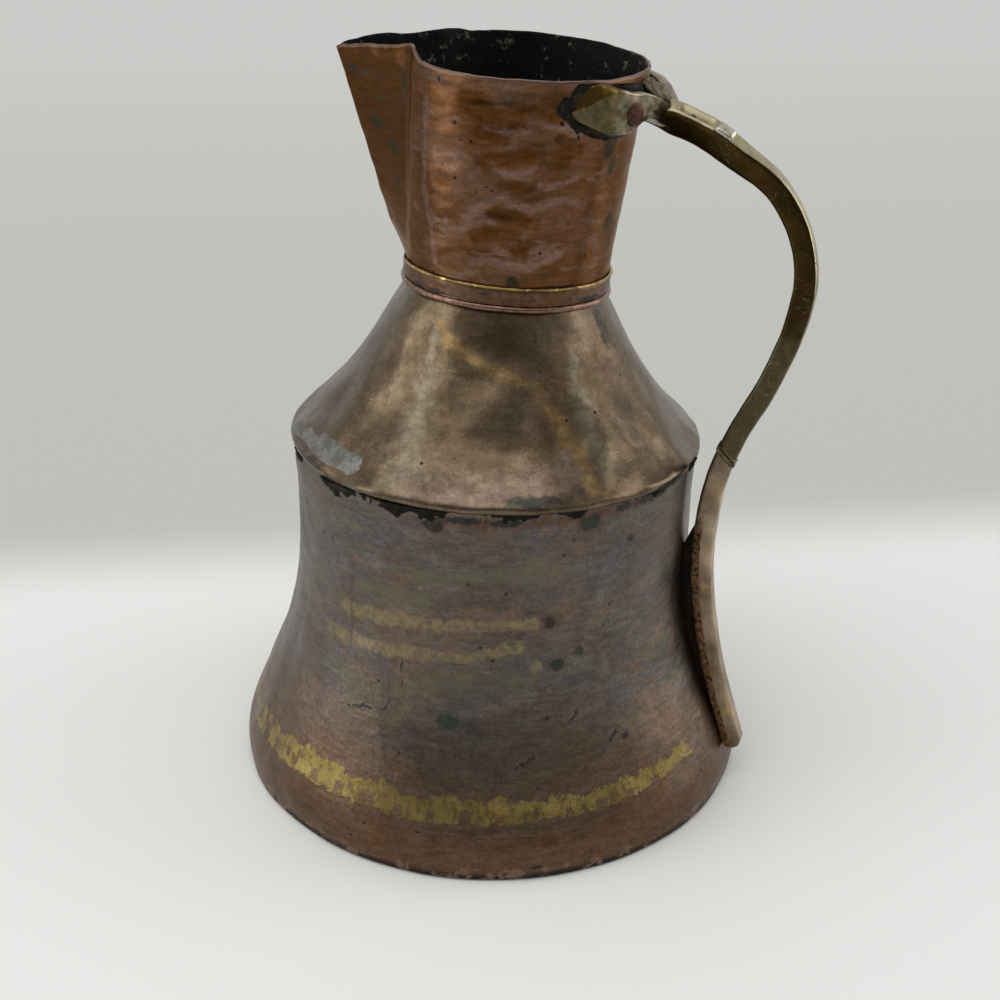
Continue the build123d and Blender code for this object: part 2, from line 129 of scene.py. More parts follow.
class NeckSettings(PropertyGroup):
    """Sizes of the collar, the neck and its folded spout, in the neck's own leaning frame."""
    collar_radius: length("Inner radius of the collar", 40.5)
    collar_sheet: length("Thickness of the collar", 1.0)
    collar_band: length("Height of the collar's band", 7.6)
    bead: length("Radius of the rolled bead", 1.3)
    top_radius: length("Outer radius at the mouth", 47.2)
    rise: length("From the collar's bead to the middle of the mouth", 86.5)
    foot_reach: length("Reach of the spout at the collar", 42.8)
    top_reach: length("Reach of the spout at the mouth", 74.6)
    belly: length("Bow of the spout's front", 1.7)
    belly_share: share("Share of the height where the bow is", 0.14)
    foot_angle: angle("Angle from the spout's middle to each crease, at the collar", 26.0)
    top_angle: angle("Angle from the spout's middle to each crease, at the mouth", 36.0)
    foot_nose: length("Radius of the fold along the front, at the collar", 1.75)
    top_nose: length("Radius of the fold along the front, at the mouth", 5.0)
    crease_depth: length("Depth of the crease at the mouth", 2.2)
    crease_turn: angle("Angle over which the wall turns in", 6.5)
    rim_tilt: angle("Tilt of the rim", 5.2)
    rim_azimuth: angle("The way the rim tilts", -31.0)
    crown: length("Height of the spout's edge over the rim", 2.9)
    fall: angle("Slope of the spout's edge", 6.2)
    waves: length("Depth of the slow waves", 0.6)
    dents: length("Depth of the dents", 0.30)
    marks: length("Depth of the hammer marks", 0.12)


class HandleSettings(PropertyGroup):
    """Sizes of the bar, the strap and the fork."""
    depth: length("Depth of the bar", 8.6)
    stem_depth: length("Depth of the bar at the neck", 12.0)
    stem_length: length("Length over which the stem thins", 52.0)
    roll: angle("How far the bar is rolled towards the camera at the neck", 34.0)
    roll_start: length("Length along the bar where the roll starts to fade", 20.0)
    roll_end: length("Length along the bar where the roll has gone", 78.0)
    width: length("Width of the bar", 7.6)
    lean: angle("Sideways lean of the bar", 3.66)
    scarf_out: length("Distance of the slanted joint from the axis", 99.0)
    scarf_height: length("Height of the slanted joint", 150.0)
    scarf_slope: angle("Slope of the joint", 43.0)
    scarf_gap: length("Thickness of the braze", 1.2)
    slot_start: length("Length along the bar to the slot", 18.0)
    slot_end: length("Length along the bar to the slot's end", 32.0)
    slot_width: length("Width of the forged slot", 1.9)
    slot_depth: length("Depth of the forged slot", 1.8)
    rivet_radius: length("Radius of a rivet's head", 4.6)
    rivet_depth: length("How far a rivet's head stands out", 0.9)
    rivet_place: length("Length along the wing to its rivet", 27.8)
    rivet_rise: length("Height of the rivet over the collar", 72.6)


class FinishSettings(PropertyGroup):
    """Colours of the metals."""
    skirt: colour("Dark patina of the lower body", (0.105, 0.085, 0.068))
    base: colour("Redder patina of the base", (0.112, 0.064, 0.038))
    seam: colour("Dull yellow brass of the seam", (0.228, 0.170, 0.054))
    cone: colour("Olive-brown of the shoulder", (0.112, 0.082, 0.051))
    neck: colour("Orange-brown copper of the neck", (0.122, 0.058, 0.029))
    bar: colour("Olive-brown brass of the bar", (0.036, 0.022, 0.006))
    rubbed: colour("Pale brass where hands rub it", (0.36, 0.31, 0.20))
    strap: colour("Brown copper of the strap", (0.320, 0.245, 0.170))
    tin: colour("Grey wiped tin", (0.19, 0.185, 0.172))
    # The near-black inside is dark tin and painted shade inside the vessel.
    lining: colour("Dark tin inside", (0.0045, 0.0038, 0.0032))


class StageSettings(PropertyGroup):
    """Camera, floor and light."""
    turn: angle("Direction the camera looks from, round the pitcher", 20.0)
    tip: angle("How far the camera looks down", 24.85)
    roll: angle("Roll of the camera", 0.69)
    distance: length("Level distance of the camera", 527.0)
    side: length("Side step of the camera", 2.87)
    eye: length("Height of the camera", 357.7)
    lens: FloatProperty(description="Focal length in millimetres", default=48.6)
    floor: colour("Pale floor", (0.815, 0.82, 0.805))
    far_floor: colour("Greyer floor further back", (0.525, 0.53, 0.505))


def settings(name):
    """One group of the pitcher's settings."""
    return getattr(bpy.context.scene, "pitcher_" + name)


def blend(low, high, part):
    """Value at a share of the way from low to high."""
    return low + (high - low) * part


def ease(low, high, value):
    """Smooth step from 0 at low to 1 at high."""
    part = np.clip((value - low) / (high - low), 0, 1)
    return part * part * (3 - 2 * part)


def curve_through(places, values):
    """Smooth function through the values at the given places."""
    x, y = np.array(places, float), np.array(values, float)
    slope = np.gradient(y, x)

    def at(place):
        i = np.clip(np.searchsorted(x, place) - 1, 0, len(x) - 2)
        step = x[i + 1] - x[i]
        u = (np.clip(place, x[0], x[-1]) - x[i]) / step
        start = (2 * u**3 - 3 * u**2 + 1) * y[i] + (u**3 - 2 * u**2 + u) * step * slope[i]
        return start + (3 * u**2 - 2 * u**3) * y[i + 1] + (u**3 - u**2) * step * slope[i + 1]

    return at


def grain(points, size, seed, stretch=(1, 1, 1)):
    """Soft noise from -1 to 1 at each point, with features of about the given size."""
    scaled = points.reshape(-1, 3) * (np.array(stretch) / size) + seed
    return np.array([noise.noise(p) for p in scaled.tolist()]).reshape(points.shape[:-1])


def lumps(points, *waves):
    """Sum of soft noises, each given by its height and its size in millimetres, its seed and any stretch."""
    return sum(high * MM * grain(points, size * MM, *more) for high, size, *more in waves)


def dishes(points, size, seed):
    """Hammer marks: 0 in the middle of each mark and higher towards its edge."""
    scaled = points.reshape(-1, 3) / size + seed
    found = np.array([noise.voronoi(p)[0][0] for p in scaled.tolist()])
    return found.reshape(points.shape[:-1]) ** 2 - 0.25


def beaten(points, sizes, seed, stretch=(1, 1, 1)):
    """How far a beaten sheet stands out at each point."""
    wave, dent, mark = 62 * MM, 21 * MM, 10.5 * MM
    out = sizes.waves * grain(points, wave, seed) + sizes.dents * grain(points, dent, seed + 7.3, stretch)
    return out + sizes.marks * 2.2 * dishes(points, mark, seed + 3.1)


def tube_faces(rows, columns, keep=None, closed=True):
    """Quads of a grid of points that runs round, or across when it isn't closed."""
    last = columns if closed else columns - 1
    i, j = np.meshgrid(np.arange(rows - 1), np.arange(last), indexing="ij")
    k = (j + 1) % columns
    quads = np.stack([i * columns + j, i * columns + k, (i + 1) * columns + k, (i + 1) * columns + j], -1)
    if keep is not None:
        return quads[keep[:, :last]].tolist()
    return quads.reshape(-1, 4).tolist()


def closed_faces(rows, columns, flip=False):
    """Quads of a tube with a face on each end."""
    faces = tube_faces(rows, columns)
    faces += [list(range(columns))[::-1], list(range((rows - 1) * columns, rows * columns))]
    return flipped(faces) if flip else faces


def flipped(faces):
    """Faces that look the other way."""
    return [face[::-1] for face in faces]


def add_piece(name, node, points, faces, finishes, fields=None):
    """Mesh object that rides on the pitcher's body and stands for one node of the part."""
    mesh = bpy.data.meshes.new(name)
    mesh.from_pydata(points.reshape(-1, 3).tolist(), [], faces)
    for key, values in (fields or {}).items():
        layer = mesh.attributes.new(key, "FLOAT", "POINT")
        layer.data.foreach_set("value", np.asarray(values, np.float32).ravel())
    mesh.shade_smooth()
    for material in finishes:
        mesh.materials.append(material)
    drop_loose(mesh)
    piece = bpy.data.objects.new(name, mesh)
    bpy.context.scene.collection.objects.link(piece)
    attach(piece, "root")
    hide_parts(node)
    return piece


def drop_loose(mesh):
    """Removes the grid points that no face uses."""
    work = bmesh.new()
    work.from_mesh(mesh)
    loose = [point for point in work.verts if not point.link_faces]
    if loose:
        bmesh.ops.delete(work, geom=loose, context="VERTS")
        work.to_mesh(mesh)
    work.free()


def thicken(piece, depth, inner=0, edge=0):
    """Gives a sheet its thickness inwards."""
    wall = piece.modifiers.new("wall", "SOLIDIFY")
    wall.thickness = depth
    wall.offset = -1
    wall.use_even_offset = False
    wall.material_offset = inner
    wall.material_offset_rim = edge


def azimuths(columns):
    """Even angles once round, without the last."""
    return np.arange(columns) * (WHOLE_TURN / columns)


def stains(turns, heights, radius, strokes=(), spots=()):
    """Field that is 1 in the middle of a stain or a patch of painted shade or highlight, 0 at its edge and
    negative outside it.

    A stroke is its points, each an azimuth in degrees and a height in millimetres, and half its width.
    A spot is an azimuth, a height, half its width and half its height."""
    field = np.full(np.broadcast(turns, heights).shape, -1.0)

    def across(turn):
        return ((turns - radians(turn) + pi) % WHOLE_TURN - pi) * radius

    for points, wide in strokes:
        for (turn, height), (next_turn, next_height) in zip(points, points[1:]):
            up = heights - height * MM
            run = np.array([radians(next_turn - turn) * radius, (next_height - height) * MM])
            along = np.clip((across(turn) * run[0] + up * run[1]) / (run @ run), 0, 1)
            reach = np.hypot(across(turn) - along * run[0], up - along * run[1]) / (wide * MM)
            field = np.maximum(field, 1 - reach)
    for turn, height, wide, tall in spots:
        reach = np.hypot(across(turn) / (wide * MM), (heights - height * MM) / (tall * MM))
        field = np.maximum(field, 1 - reach)
    return field


def stain_fields(marks, turns, heights, radius):
    """Fields of the named stains, painted shade and highlights of one sheet."""
    return {name: stains(turns, heights, radius, *both) for name, both in marks.items()}


def leaning_matrix(shift, height, tilt, turn=0.0):
    """Frame on the pitcher's leaning axis, its Z along the axis there."""
    lean = settings("shoulder").lean_azimuth
    ahead = Vector((cos(lean), sin(lean), 0))
    up = (ahead * sin(tilt) + Vector((0, 0, cos(tilt)))).normalized()
    side = Vector((cos(turn), sin(turn), 0))
    side = (side - up * side.dot(up)).normalized()
    origin = ahead * shift + Vector((0, 0, height))
    return np.array([side, up.cross(side), up, origin]).T


def neck_matrix():
    """Frame of the neck, which starts at the collar's bead."""
    sizes = settings("shoulder")
    return leaning_matrix(sizes.collar_shift, sizes.collar_height, sizes.neck_tilt, sizes.neck_turn)


def placed(matrix, points):
    """Points of a leaning frame in the part's frame."""
    return points @ matrix[:, :3].T + matrix[:, 3]


def ring_points(turns, radius, height):
    """Points round an upright axis."""
    turns, radius, height = np.broadcast_arrays(turns, radius, height)
    return np.stack([radius * np.cos(turns), radius * np.sin(turns), height], -1)


def skirt_outline():
    """Outer radius of the skirt as a function of the height."""
    s = settings("skirt")
    heights = [0, s.foot_height, s.flare_height, s.hip_height, s.waist_height, s.height + 2.2 * MM]
    radii = [s.foot_radius, s.foot_radius, s.flare_radius, s.hip_radius, s.waist_radius, s.mouth_radius]
    return curve_through(heights, radii)


def skirt_grid(turns, heights, inset=0.0):
    """Beaten skirt at each height, all round, drawn in by inset, and the smooth skirt."""
    outline = skirt_outline()
    heights = np.asarray(heights, float)[:, None]
    turns = turns[None, :]
    radius = outline(heights) - inset
    ideal = ring_points(turns, outline(heights), heights)
    out = beaten(ideal, settings("skirt"), 11.0) + lumps(ideal, (0.5, 13, 15.0, (1, 1, 0.6)))
    out = out * ease(0, 6 * MM, heights) * (1 - 0.8 * ease(140 * MM, 149 * MM, heights))
    bulge_azimuth, bulge_width, bulge = radians(-6), radians(26), 2.6 * MM
    beside = np.exp(-(((turns + pi - bulge_azimuth) % WHOLE_TURN - pi) / bulge_width) ** 2)
    out = out + bulge * beside * ease(84 * MM, 132 * MM, heights)
    return ring_points(turns, radius + out, heights), ring_points(turns, radius, heights)


# Stains, painted shade and painted highlights of each sheet by name, as strokes and spots for stains():
# degrees round, and millimetres.
BASE_MARKS = {"dark": ([], [(-85, 20, 2.2, 1.8), (-60, 6, 3, 1)])}


class PITCHER_OT_base_pan(Operator):
    """Lay the beaten base pan with its tabs"""
    bl_idname = "pitcher.base_pan"
    bl_label = "Base pan"

    def execute(self, context):
        seam = settings("seam")
        steps = 12
        columns = seam.tabs * steps
        turns = azimuths(columns)
        uneven = lumps(ring_points(turns, FOOT_RADIUS, 0.0), (0.7, 30, 5.0))
        level = 0.985
        foot = [ring_points(turns, FOOT_RADIUS * part, 0.0) for part in (0.2, 0.5, 0.75, 0.9, 0.965, level)]
        for part, height in ((0.994, 0.35 * MM), (0.998, 0.9 * MM), (1.0, 1.7 * MM)):
            radius = FOOT_RADIUS * part + uneven * (part - level) / (1 - level)
            foot.append(ring_points(turns, radius, height))
        wall_heights = np.linspace(2.6 * MM, seam.bottom, 17)
        tab_heights = np.linspace(seam.bottom, seam.bottom + seam.tab_height, 8)[1:]
        heights = np.concatenate([wall_heights, tab_heights])
        wall, _ = skirt_grid(turns, heights)
        low = 1 - ease(2 * MM, 12 * MM, heights)[:, None]
        wall = wall + ring_points(turns[None, :], uneven[None, :] * low, 0.0)
        grid = np.concatenate([np.array(foot), wall])
        keep = np.ones((len(grid) - 1, columns), bool)
        across = (np.arange(columns) + steps // 2) % steps
        keep[-len(tab_heights):] = (across >= steps // 4) & (across < 3 * steps // 4)
        faces = tube_faces(len(grid), columns, keep)
        faces.append(list(range(columns))[::-1])
        fields = stain_fields(BASE_MARKS, turns[None, :], grid[..., 2], 107 * MM)
        piece = add_piece("base_sheet", "base_pan", grid, faces, [finish_base()], fields)
        thicken(piece, seam.layer)
        return {"FINISHED"}


SKIRT_MARKS = {
    "brass": ([([(-113, 95), (-100, 97), (-84, 98.5)], 3.9), ([(-84, 98.5), (-68, 99.5), (-58, 100.5)], 3.0),
               ([(-118, 83), (-110, 82.5), (-98, 84)], 3.9), ([(-98, 84), (-88, 85.5)], 3.2),
               ([(-88, 85.5), (-78, 85.5), (-70, 88)], 2.4), ([(-70, 88), (-63, 91)], 3.3)],
              [(-58.5, 81.6, 3.6, 3.2), (-89, 112.5, 1.8, 1.4)]),
    "olive": ([([(-88, 74), (-73, 75.5), (-60, 77)], 6.0), ([(-108, 107), (-87, 109)], 4.5),
               ([(-126, 104), (-118, 97), (-112, 93)], 5.0), ([(-90, 117), (-72, 120), (-54, 121)], 5.0)],),
    "rust": ([([(-111, 114), (-111, 96), (-110.4, 78)], 1.1), ([(-74, 142), (-20, 143)], 4.2)],
             [(-44, 139, 8, 6), (-33.4, 142.5, 7, 5), (-54.6, 100, 6.5, 6), (-52.7, 82, 5, 4)]),
    "dark": ([], [(-44, 139.3, 5.2, 4.0), (-33.4, 142.6, 4.4, 2.6), (-54.6, 100, 3.0, 3.0),
                  (-52.7, 82, 2.6, 2.4), (-85, 140.8, 5.0, 4.2), (-77, 143, 9.0, 2.0), (-66, 142.5, 8, 1.8),
                  (-24, 143, 10, 2.4), (-35.6, 47.5, 2.0, 1.8), (-30, 128, 2, 2)]),
    "green": ([], [(-80.3, 60.3, 6.6, 4.2), (-52.7, 82, 3.4, 3.2), (-44, 139, 4.4, 3.2),
                   (-46.5, 86, 3, 2.6)]),
    "crack": ([([(-108, 56.5), (-103, 58.5), (-97, 60)], 0.5), ([(-97, 60), (-96, 66)], 0.4),
               ([(-94, 82), (-93, 70)], 0.35), ([(-40, 48), (-37, 52)], 0.8), ([(-64, 44), (-60, 47)], 0.9),
               ([(-50, 58), (-48, 62)], 0.8)],),
}


class PITCHER_OT_skirt(Operator):
    """Raise the concave lower body"""
    bl_idname = "pitcher.skirt"
    bl_label = "Skirt"

    def execute(self, context):
        seam, skirt = settings("seam"), settings("skirt")
        columns = 576
        turns = azimuths(columns)
        top = seam.bottom + seam.height
        tucked, _ = skirt_grid(turns, np.linspace(seam.bottom - seam.lap, top, 8), seam.layer)
        wall, _ = skirt_grid(turns, np.linspace(top, skirt.height, 100))
        shoulder = settings("shoulder")
        under = leaning_matrix(shoulder.lip_shift, skirt.height, shoulder.lip_tilt)
        wall[..., 2] -= np.maximum((wall - under[:, 3]) @ under[:, 2], 0)
        grid = np.concatenate([tucked, wall])
        fields = stain_fields(SKIRT_MARKS, turns[None, :], grid[..., 2], skirt.waist_radius)
        finishes = [finish_skirt(), finish_lining()]
        piece = add_piece("skirt_sheet", "lower_body", grid, tube_faces(len(grid), columns), finishes, fields)
        thicken(piece, skirt.sheet - seam.layer, 1, 0)
        return {"FINISHED"}


# Azimuth in degrees, and the brass's lower and upper edge there in millimetres.
SEAM_EDGES = np.array([
    (-180, 22.6, 32.6), (-160, 24.0, 27.0), (-150, 21.6, 28.6), (-141, 20.6, 29.8), (-125, 21.8, 33.0),
    (-102, 22.6, 34.4), (-85, 22.6, 33.6), (-67, 23.4, 33.0), (-50, 23.8, 32.4), (-40, 24.2, 32.6),
    (-30, 25.6, 33.6), (-18, 27.0, 34.2), (0, 25.0, 34.0), (40, 23.0, 33.4), (80, 22.6, 34.2),
    (120, 23.4, 33.2), (160, 22.4, 33.8), (180, 22.6, 32.6)])
BARE_MIDDLE, BARE_HALF = -1.5, 13.5      # stretch behind the strap that has no brass, in degrees
BROKEN_MIDDLE, BROKEN_WIDTH = -138, 26   # stretch where the brass is broken into fingers, in degrees


class PITCHER_OT_seam(Operator):
    """Run the ragged brass round the tabs"""
    bl_idname = "pitcher.seam"
    bl_label = "Brass seam"

    def execute(self, context):
        seam = settings("seam")
        columns, rows, spread = 1056, 34, 3.4 * MM
        turns = azimuths(columns)
        heights = np.linspace(seam.bottom - spread, seam.bottom + seam.height + spread, rows)
        wall, flat = skirt_grid(turns, heights)
        lobes = (grain(flat, 6.5 * MM, 23.0) + 0.5 * grain(flat, 3 * MM, 24.0)) * MM
        reach = self.reach(turns, heights, flat, lobes)
        lift = blend(0.05 * MM, seam.proud, ease(-0.25 * MM, 0.5 * MM, reach))
        lift = lift + lumps(flat, (0.03, 2.2, 31.0))
        from_edge = np.minimum(heights - heights[0], heights[-1] - heights)[:, None]
        lift = blend(-0.30 * MM, lift, ease(0, 1.4 * MM, from_edge))
        grid = wall + ring_points(turns[None, :], lift, 0.0)
        fields = {"reach": reach / MM - 0.5, "window": self.window(turns, heights) + 0.8 * lobes / MM}
        faces = tube_faces(rows, columns)
        piece = add_piece("seam_brass_band", "base_seam_braze", grid, faces, [finish_seam()], fields)
        thicken(piece, seam.layer)
        return {"FINISHED"}

    def reach(self, turns, heights, flat, lobes):
        """How far each point lies inside the ragged brass."""
        up = heights[:, None]
        around = (np.degrees(turns) + 180) % 360 - 180
        low, high = (np.interp(around, SEAM_EDGES[:, 0], SEAM_EDGES[:, k])[None, :] * MM for k in (1, 2))
        degree = 1.77 * MM
        bare = np.minimum(abs(around - BARE_MIDDLE) - BARE_HALF, 20)[None, :] * degree
        broken = np.exp(-((around - BROKEN_MIDDLE) / BROKEN_WIDTH) ** 2)[None, :]
        wide = grain(flat * (1, 1, 0.4), 12 * MM, 21.0) * MM
        fingers = (grain(flat, 3.2 * MM, 25.0, (1, 1, 0.45)) - 0.05) * MM
        upper = high - up + 2.2 * wide + 2.4 * lobes
        lower = up - low + lobes
        reach = np.minimum(np.minimum(upper, lower), bare + 7 * lobes + 3 * wide)
        reach = np.minimum(reach + broken * 3.2 * fingers, 3 * MM + broken * (8 * fingers - 1.2 * MM))
        flecks = grain(flat, 2.4 * MM, 27.0) - 0.42 + 0.10 * np.minimum(reach / MM, 0)
        return np.maximum(reach, flecks * 2.2 * MM)

    def window(self, turns, heights):
        """Field of the tabs that show through the brass, more of some than of others."""
        seam = settings("seam")
        pitch = WHOLE_TURN / seam.tabs
        tab = np.round(turns / pitch)
        aside = (turns - tab * pitch)[None, :] * settings("skirt").flare_radius
        up = heights[:, None] - seam.bottom - 0.5 * seam.tab_height
        cover = np.array([noise.noise((k * 1.7, 4.2, 0)) for k in tab])[None, :]
        edge = np.maximum(abs(aside) - seam.tab_width * 0.40, abs(up) - seam.tab_height * 0.36)
        return -edge / MM - 0.6 + 2.5 * cover


def cone_rows():
    """Outline of the shoulder: radius and height over the lip, from under the lip to the collar."""
    s = settings("shoulder")
    rise = s.collar_height - settings("skirt").height
    shares = np.array([0.03, 0.12, 0.31, 0.56, 0.80, 0.97])
    radii = np.array([83.4, 77.4, 66.4, 54.9, 46.2, 40.2]) * MM
    heights = np.linspace(shares[0], shares[-1], 62) * rise
    cone = np.stack([curve_through(shares * rise, radii)(heights), heights], -1)
    lip = [(-1.5, 0), (-0.5, 0), (0.05, -1.7), (0.3, -0.9), (0.25, -0.1), (-0.15, 0.7), (-0.7, 1.3)]
    lip = np.array(lip) * MM
    lip[:2, 1] = -s.lip_depth
    top = [(39.6 * MM, rise * 0.985), (38.9 * MM, rise), (38.9 * MM, rise + 4.5 * MM)]
    return np.concatenate([lip + (s.lip_radius, 0), cone, top])


def cone_grid(turns):
    """Beaten shoulder in its leaning place, row by row, with its outward directions."""
    s, skirt = settings("shoulder"), settings("skirt")
    rise = s.collar_height - skirt.height
    rows = cone_rows()
    flat, outward = [], []
    for radius, height in rows:
        part = min(max(height / rise, 0), 1)
        shift, tilt = blend(s.lip_shift, s.collar_shift, part), blend(s.lip_tilt, s.neck_tilt, part)
        matrix = leaning_matrix(shift, skirt.height + height, tilt)
        ring = ring_points(turns, radius, 0.0)
        flat.append(placed(matrix, ring))
        outward.append(placed(matrix, ring / radius) - matrix[:, 3])
    flat, outward = np.array(flat), np.array(outward)
    height = rows[:, 1][:, None]
    out = beaten(flat, s, 41.0) * (1 - ease(rise * 0.9, rise, height))
    out = out + np.exp(-((height - 7 * MM) / (9 * MM)) ** 2) * lumps(flat, (1.0, 19, 47.0), (0.45, 8, 48.0))
    at_lip = np.exp(-(height / (2.2 * MM)) ** 2)
    wobble = at_lip * lumps(flat * (1, 1, 0), (0.85, 12, 49.0))
    grid = flat + outward * (out * ease(-1.5 * MM, 2 * MM, height) + wobble * 0.6)[..., None]
    grid[..., 2] += 0.7 * wobble
    return grid, outward


SHOULDER_MARKS = {
    # Painted highlights: upright lighter streaks at about -100 and -38 degrees.
    "highlight_streaks": ([([(-105, 200), (-101, 187)], 4.5), ([(-101, 187), (-99, 172)], 7.5),
              ([(-99, 174), (-96, 155)], 11.0), ([(-38, 192), (-38, 178)], 5.0),
              ([(-38, 180), (-38, 158)], 8.0)],),
    "rust": ([([(-105, 203), (-92, 197), (-78, 192)], 3.2), ([(-80, 192), (-57, 185)], 3.6),
              ([(-57, 185), (-50, 174)], 4.4), ([(-50, 175), (-45, 161), (-43, 152)], 5.4)],),
    # Painted highlight: pinkish light band just over the lip.
    "rub_and_sheen": ([([(-92, 152), (-72, 154), (-50, 158)], 9.0)], [(-80, 151, 24.375, 5)]),
    "dark": ([], [(-47, 152, 2.0, 1.4), (-12, 200, 6, 9), (-126, 150, 6, 2), (-58, 150.5, 10, 1.6)]),
    "green": ([], [(-62, 151, 9, 1.8)]),
    # Painted shade: broad darker patches high on the shoulder.
    "deep": ([], [(-20, 180, 20, 34), (-66, 199, 24, 12), (-140, 185, 22, 30)]),
}


class PITCHER_OT_shoulder(Operator):
    """Beat the hollow cone with its rolled lip"""
    bl_idname = "pitcher.shoulder"
    bl_label = "Shoulder"

    def execute(self, context):
        columns = 480
        turns = azimuths(columns)
        grid, _ = cone_grid(turns)
        fields = stain_fields(SHOULDER_MARKS, turns[None, :], grid[..., 2], 65 * MM)
        finishes = [finish_shoulder(), finish_lining()]
        piece = add_piece("shoulder_cone", "shoulder", grid, tube_faces(len(grid), columns), finishes, fields)
        thicken(piece, settings("skirt").sheet, 1, 0)
        return {"FINISHED"}


TIN_PATCH = ([([(210, 153.8), (221, 154.6), (231, 154.6)], 1.9),
              ([(229, 155.4), (241, 155.2), (248, 154.8)], 3.0)], [(247, 154.4, 4.4, 2.8)])


class PITCHER_OT_lip_solder(Operator):
    """Wipe the solder under the lip and the tin over it"""
    bl_idname = "pitcher.lip_solder"
    bl_label = "Lip solder and tin"

    def execute(self, context):
        columns, rows = 720, 12
        turns = azimuths(columns)
        top = settings("skirt").height - 1.9 * MM
        heights = np.linspace(top - 6.5 * MM, top, rows)
        wall, flat = skirt_grid(turns, heights)
        depth = np.linspace(0, 1, rows)[:, None]
        drip = 0.95 * grain(flat * (1, 1, 0.2), 14 * MM, 51.0) + 0.35 * grain(flat, 4 * MM, 53.0)
        drip = drip + 0.30 * grain(flat, 1.9 * MM, 54.0)
        lift = np.clip((depth - 0.66 + drip) * 2.2 * MM, -0.6 * MM, 1.3 * MM)
        grid = wall + ring_points(turns[None, :], lift, 0.0)
        piece = add_piece("lip_solder_run", "shoulder_solder", grid, tube_faces(rows, columns),
                          [finish_dark_solder()])
        thicken(piece, 0.5 * MM)
        self.wipe_tin(turns)
        return {"FINISHED"}

    def wipe_tin(self, turns):
        """Grey tin on the lip, at the left."""
        grid, outward = cone_grid(turns)
        chosen = (turns > radians(204)) & (turns < radians(260))
        lip_rows = slice(3, 24)
        grid, outward, turns = grid[lip_rows, chosen], outward[lip_rows, chosen], turns[chosen]
        ragged = 0.22 * grain(grid, 8 * MM, 55.0) + 0.16 * grain(grid, 3 * MM, 57.0)
        reach = stains(turns[None, :], grid[..., 2], 80 * MM, *TIN_PATCH) + ragged
        lift = np.clip(reach * MM, -0.4 * MM, 0.35 * MM) + lumps(grid, (0.06, 2.4, 59.0))
        faces = tube_faces(*grid.shape[:2], reach[:-1] > -0.5, closed=False)
        grid = grid + outward * lift[..., None]
        piece = add_piece("lip_tin_wipe", "lip_tin_patch", grid, faces, [finish_tin()])
        thicken(piece, 0.4 * MM)


COLLAR_STAINS = [(-134, 2.6, 5, 1.2), (-119, 2.4, 5, 1.3), (-27, 2.5, 8, 1.5), (-90, 5.5, 3, 1)]


class PITCHER_OT_collar(Operator):
    """Wrap the collar with its bead and the bright brass over it"""
    bl_idname = "pitcher.collar"
    bl_label = "Collar"

    def execute(self, context):
        n = settings("neck")
        columns = 360
        turns = azimuths(columns)
        outer = n.collar_radius + n.collar_sheet
        steps = np.linspace(-0.62 * pi, 0.62 * pi, 14)
        bead = np.stack([outer - n.bead / 2 + n.bead * np.cos(steps), n.bead * np.sin(steps)], -1)
        band = np.array([(0.1, 2.2), (-0.15, 3.6), (-0.1, 5.2), (0.05, 6.6)]) * MM + (outer, 0)
        top = np.array([(-0.15, -0.2), (-0.5, 0)]) * MM + (outer, n.collar_band)
        wall = n.collar_radius + 0.1 * MM
        inside = [(wall, n.collar_band - 0.3 * MM), (wall, 0.2 * MM)]
        profile = np.concatenate([bead, band, top, inside])
        flat = ring_points(turns[None, :], profile[:, :1], profile[:, 1:])
        shape = lumps(flat * (1, 1, 0.3), (0.35, 16, 61.0)) + lumps(flat, (0.12, 3.5, 63.0))
        shape[-len(inside):] = 0
        grid = flat + ring_points(turns[None, :], shape, 0.0)
        grid[..., 2] += lumps(flat * (1, 1, 0), (0.25, 14, 65.0)) * (profile[:, 1:] < 3 * MM)
        in_bead = np.arange(len(profile))[:, None] < len(bead)
        fields = {
            "dark": stains(turns[None, :], flat[..., 2], outer, spots=COLLAR_STAINS),
            # The lighter bead is a painted highlight.
            "rub_and_sheen": np.where(in_bead, 0.8, -0.6) + 0 * turns[None, :],
        }
        grid = placed(neck_matrix(), grid)
        loop = np.concatenate([grid, grid[:1]])
        fields = {key: np.concatenate([value, value[:1]]) for key, value in fields.items()}
        faces = tube_faces(len(loop), columns)
        add_piece("collar_band", "neck_collar", loop, faces, [finish_collar()], fields)
        self.lay_wire()
        return {"FINISHED"}

    def lay_wire(self):
        """Thin line of brass on the collar's edge, open behind the handle's side."""
        n = settings("neck")
        columns, around = 300, 12
        turns = np.linspace(radians(-152), radians(152), columns)
        base = n.collar_radius + 0.75 * MM
        thick = 0.78 * MM + lumps(ring_points(turns, base, n.collar_band), (0.22, 7, 67.0), (0.12, 2.5, 68.0))
        angles = azimuths(around)[:, None]
        radius = base + thick * np.cos(angles)
        height = n.collar_band + 0.25 * MM + 0.8 * thick * np.sin(angles)
        grid = placed(neck_matrix(), ring_points(turns[None, :], radius, height)).transpose(1, 0, 2)[::-1]
        faces = closed_faces(columns, around)
        add_piece("collar_brass_line", "collar_wire", grid, faces, [finish_bright_brass()])


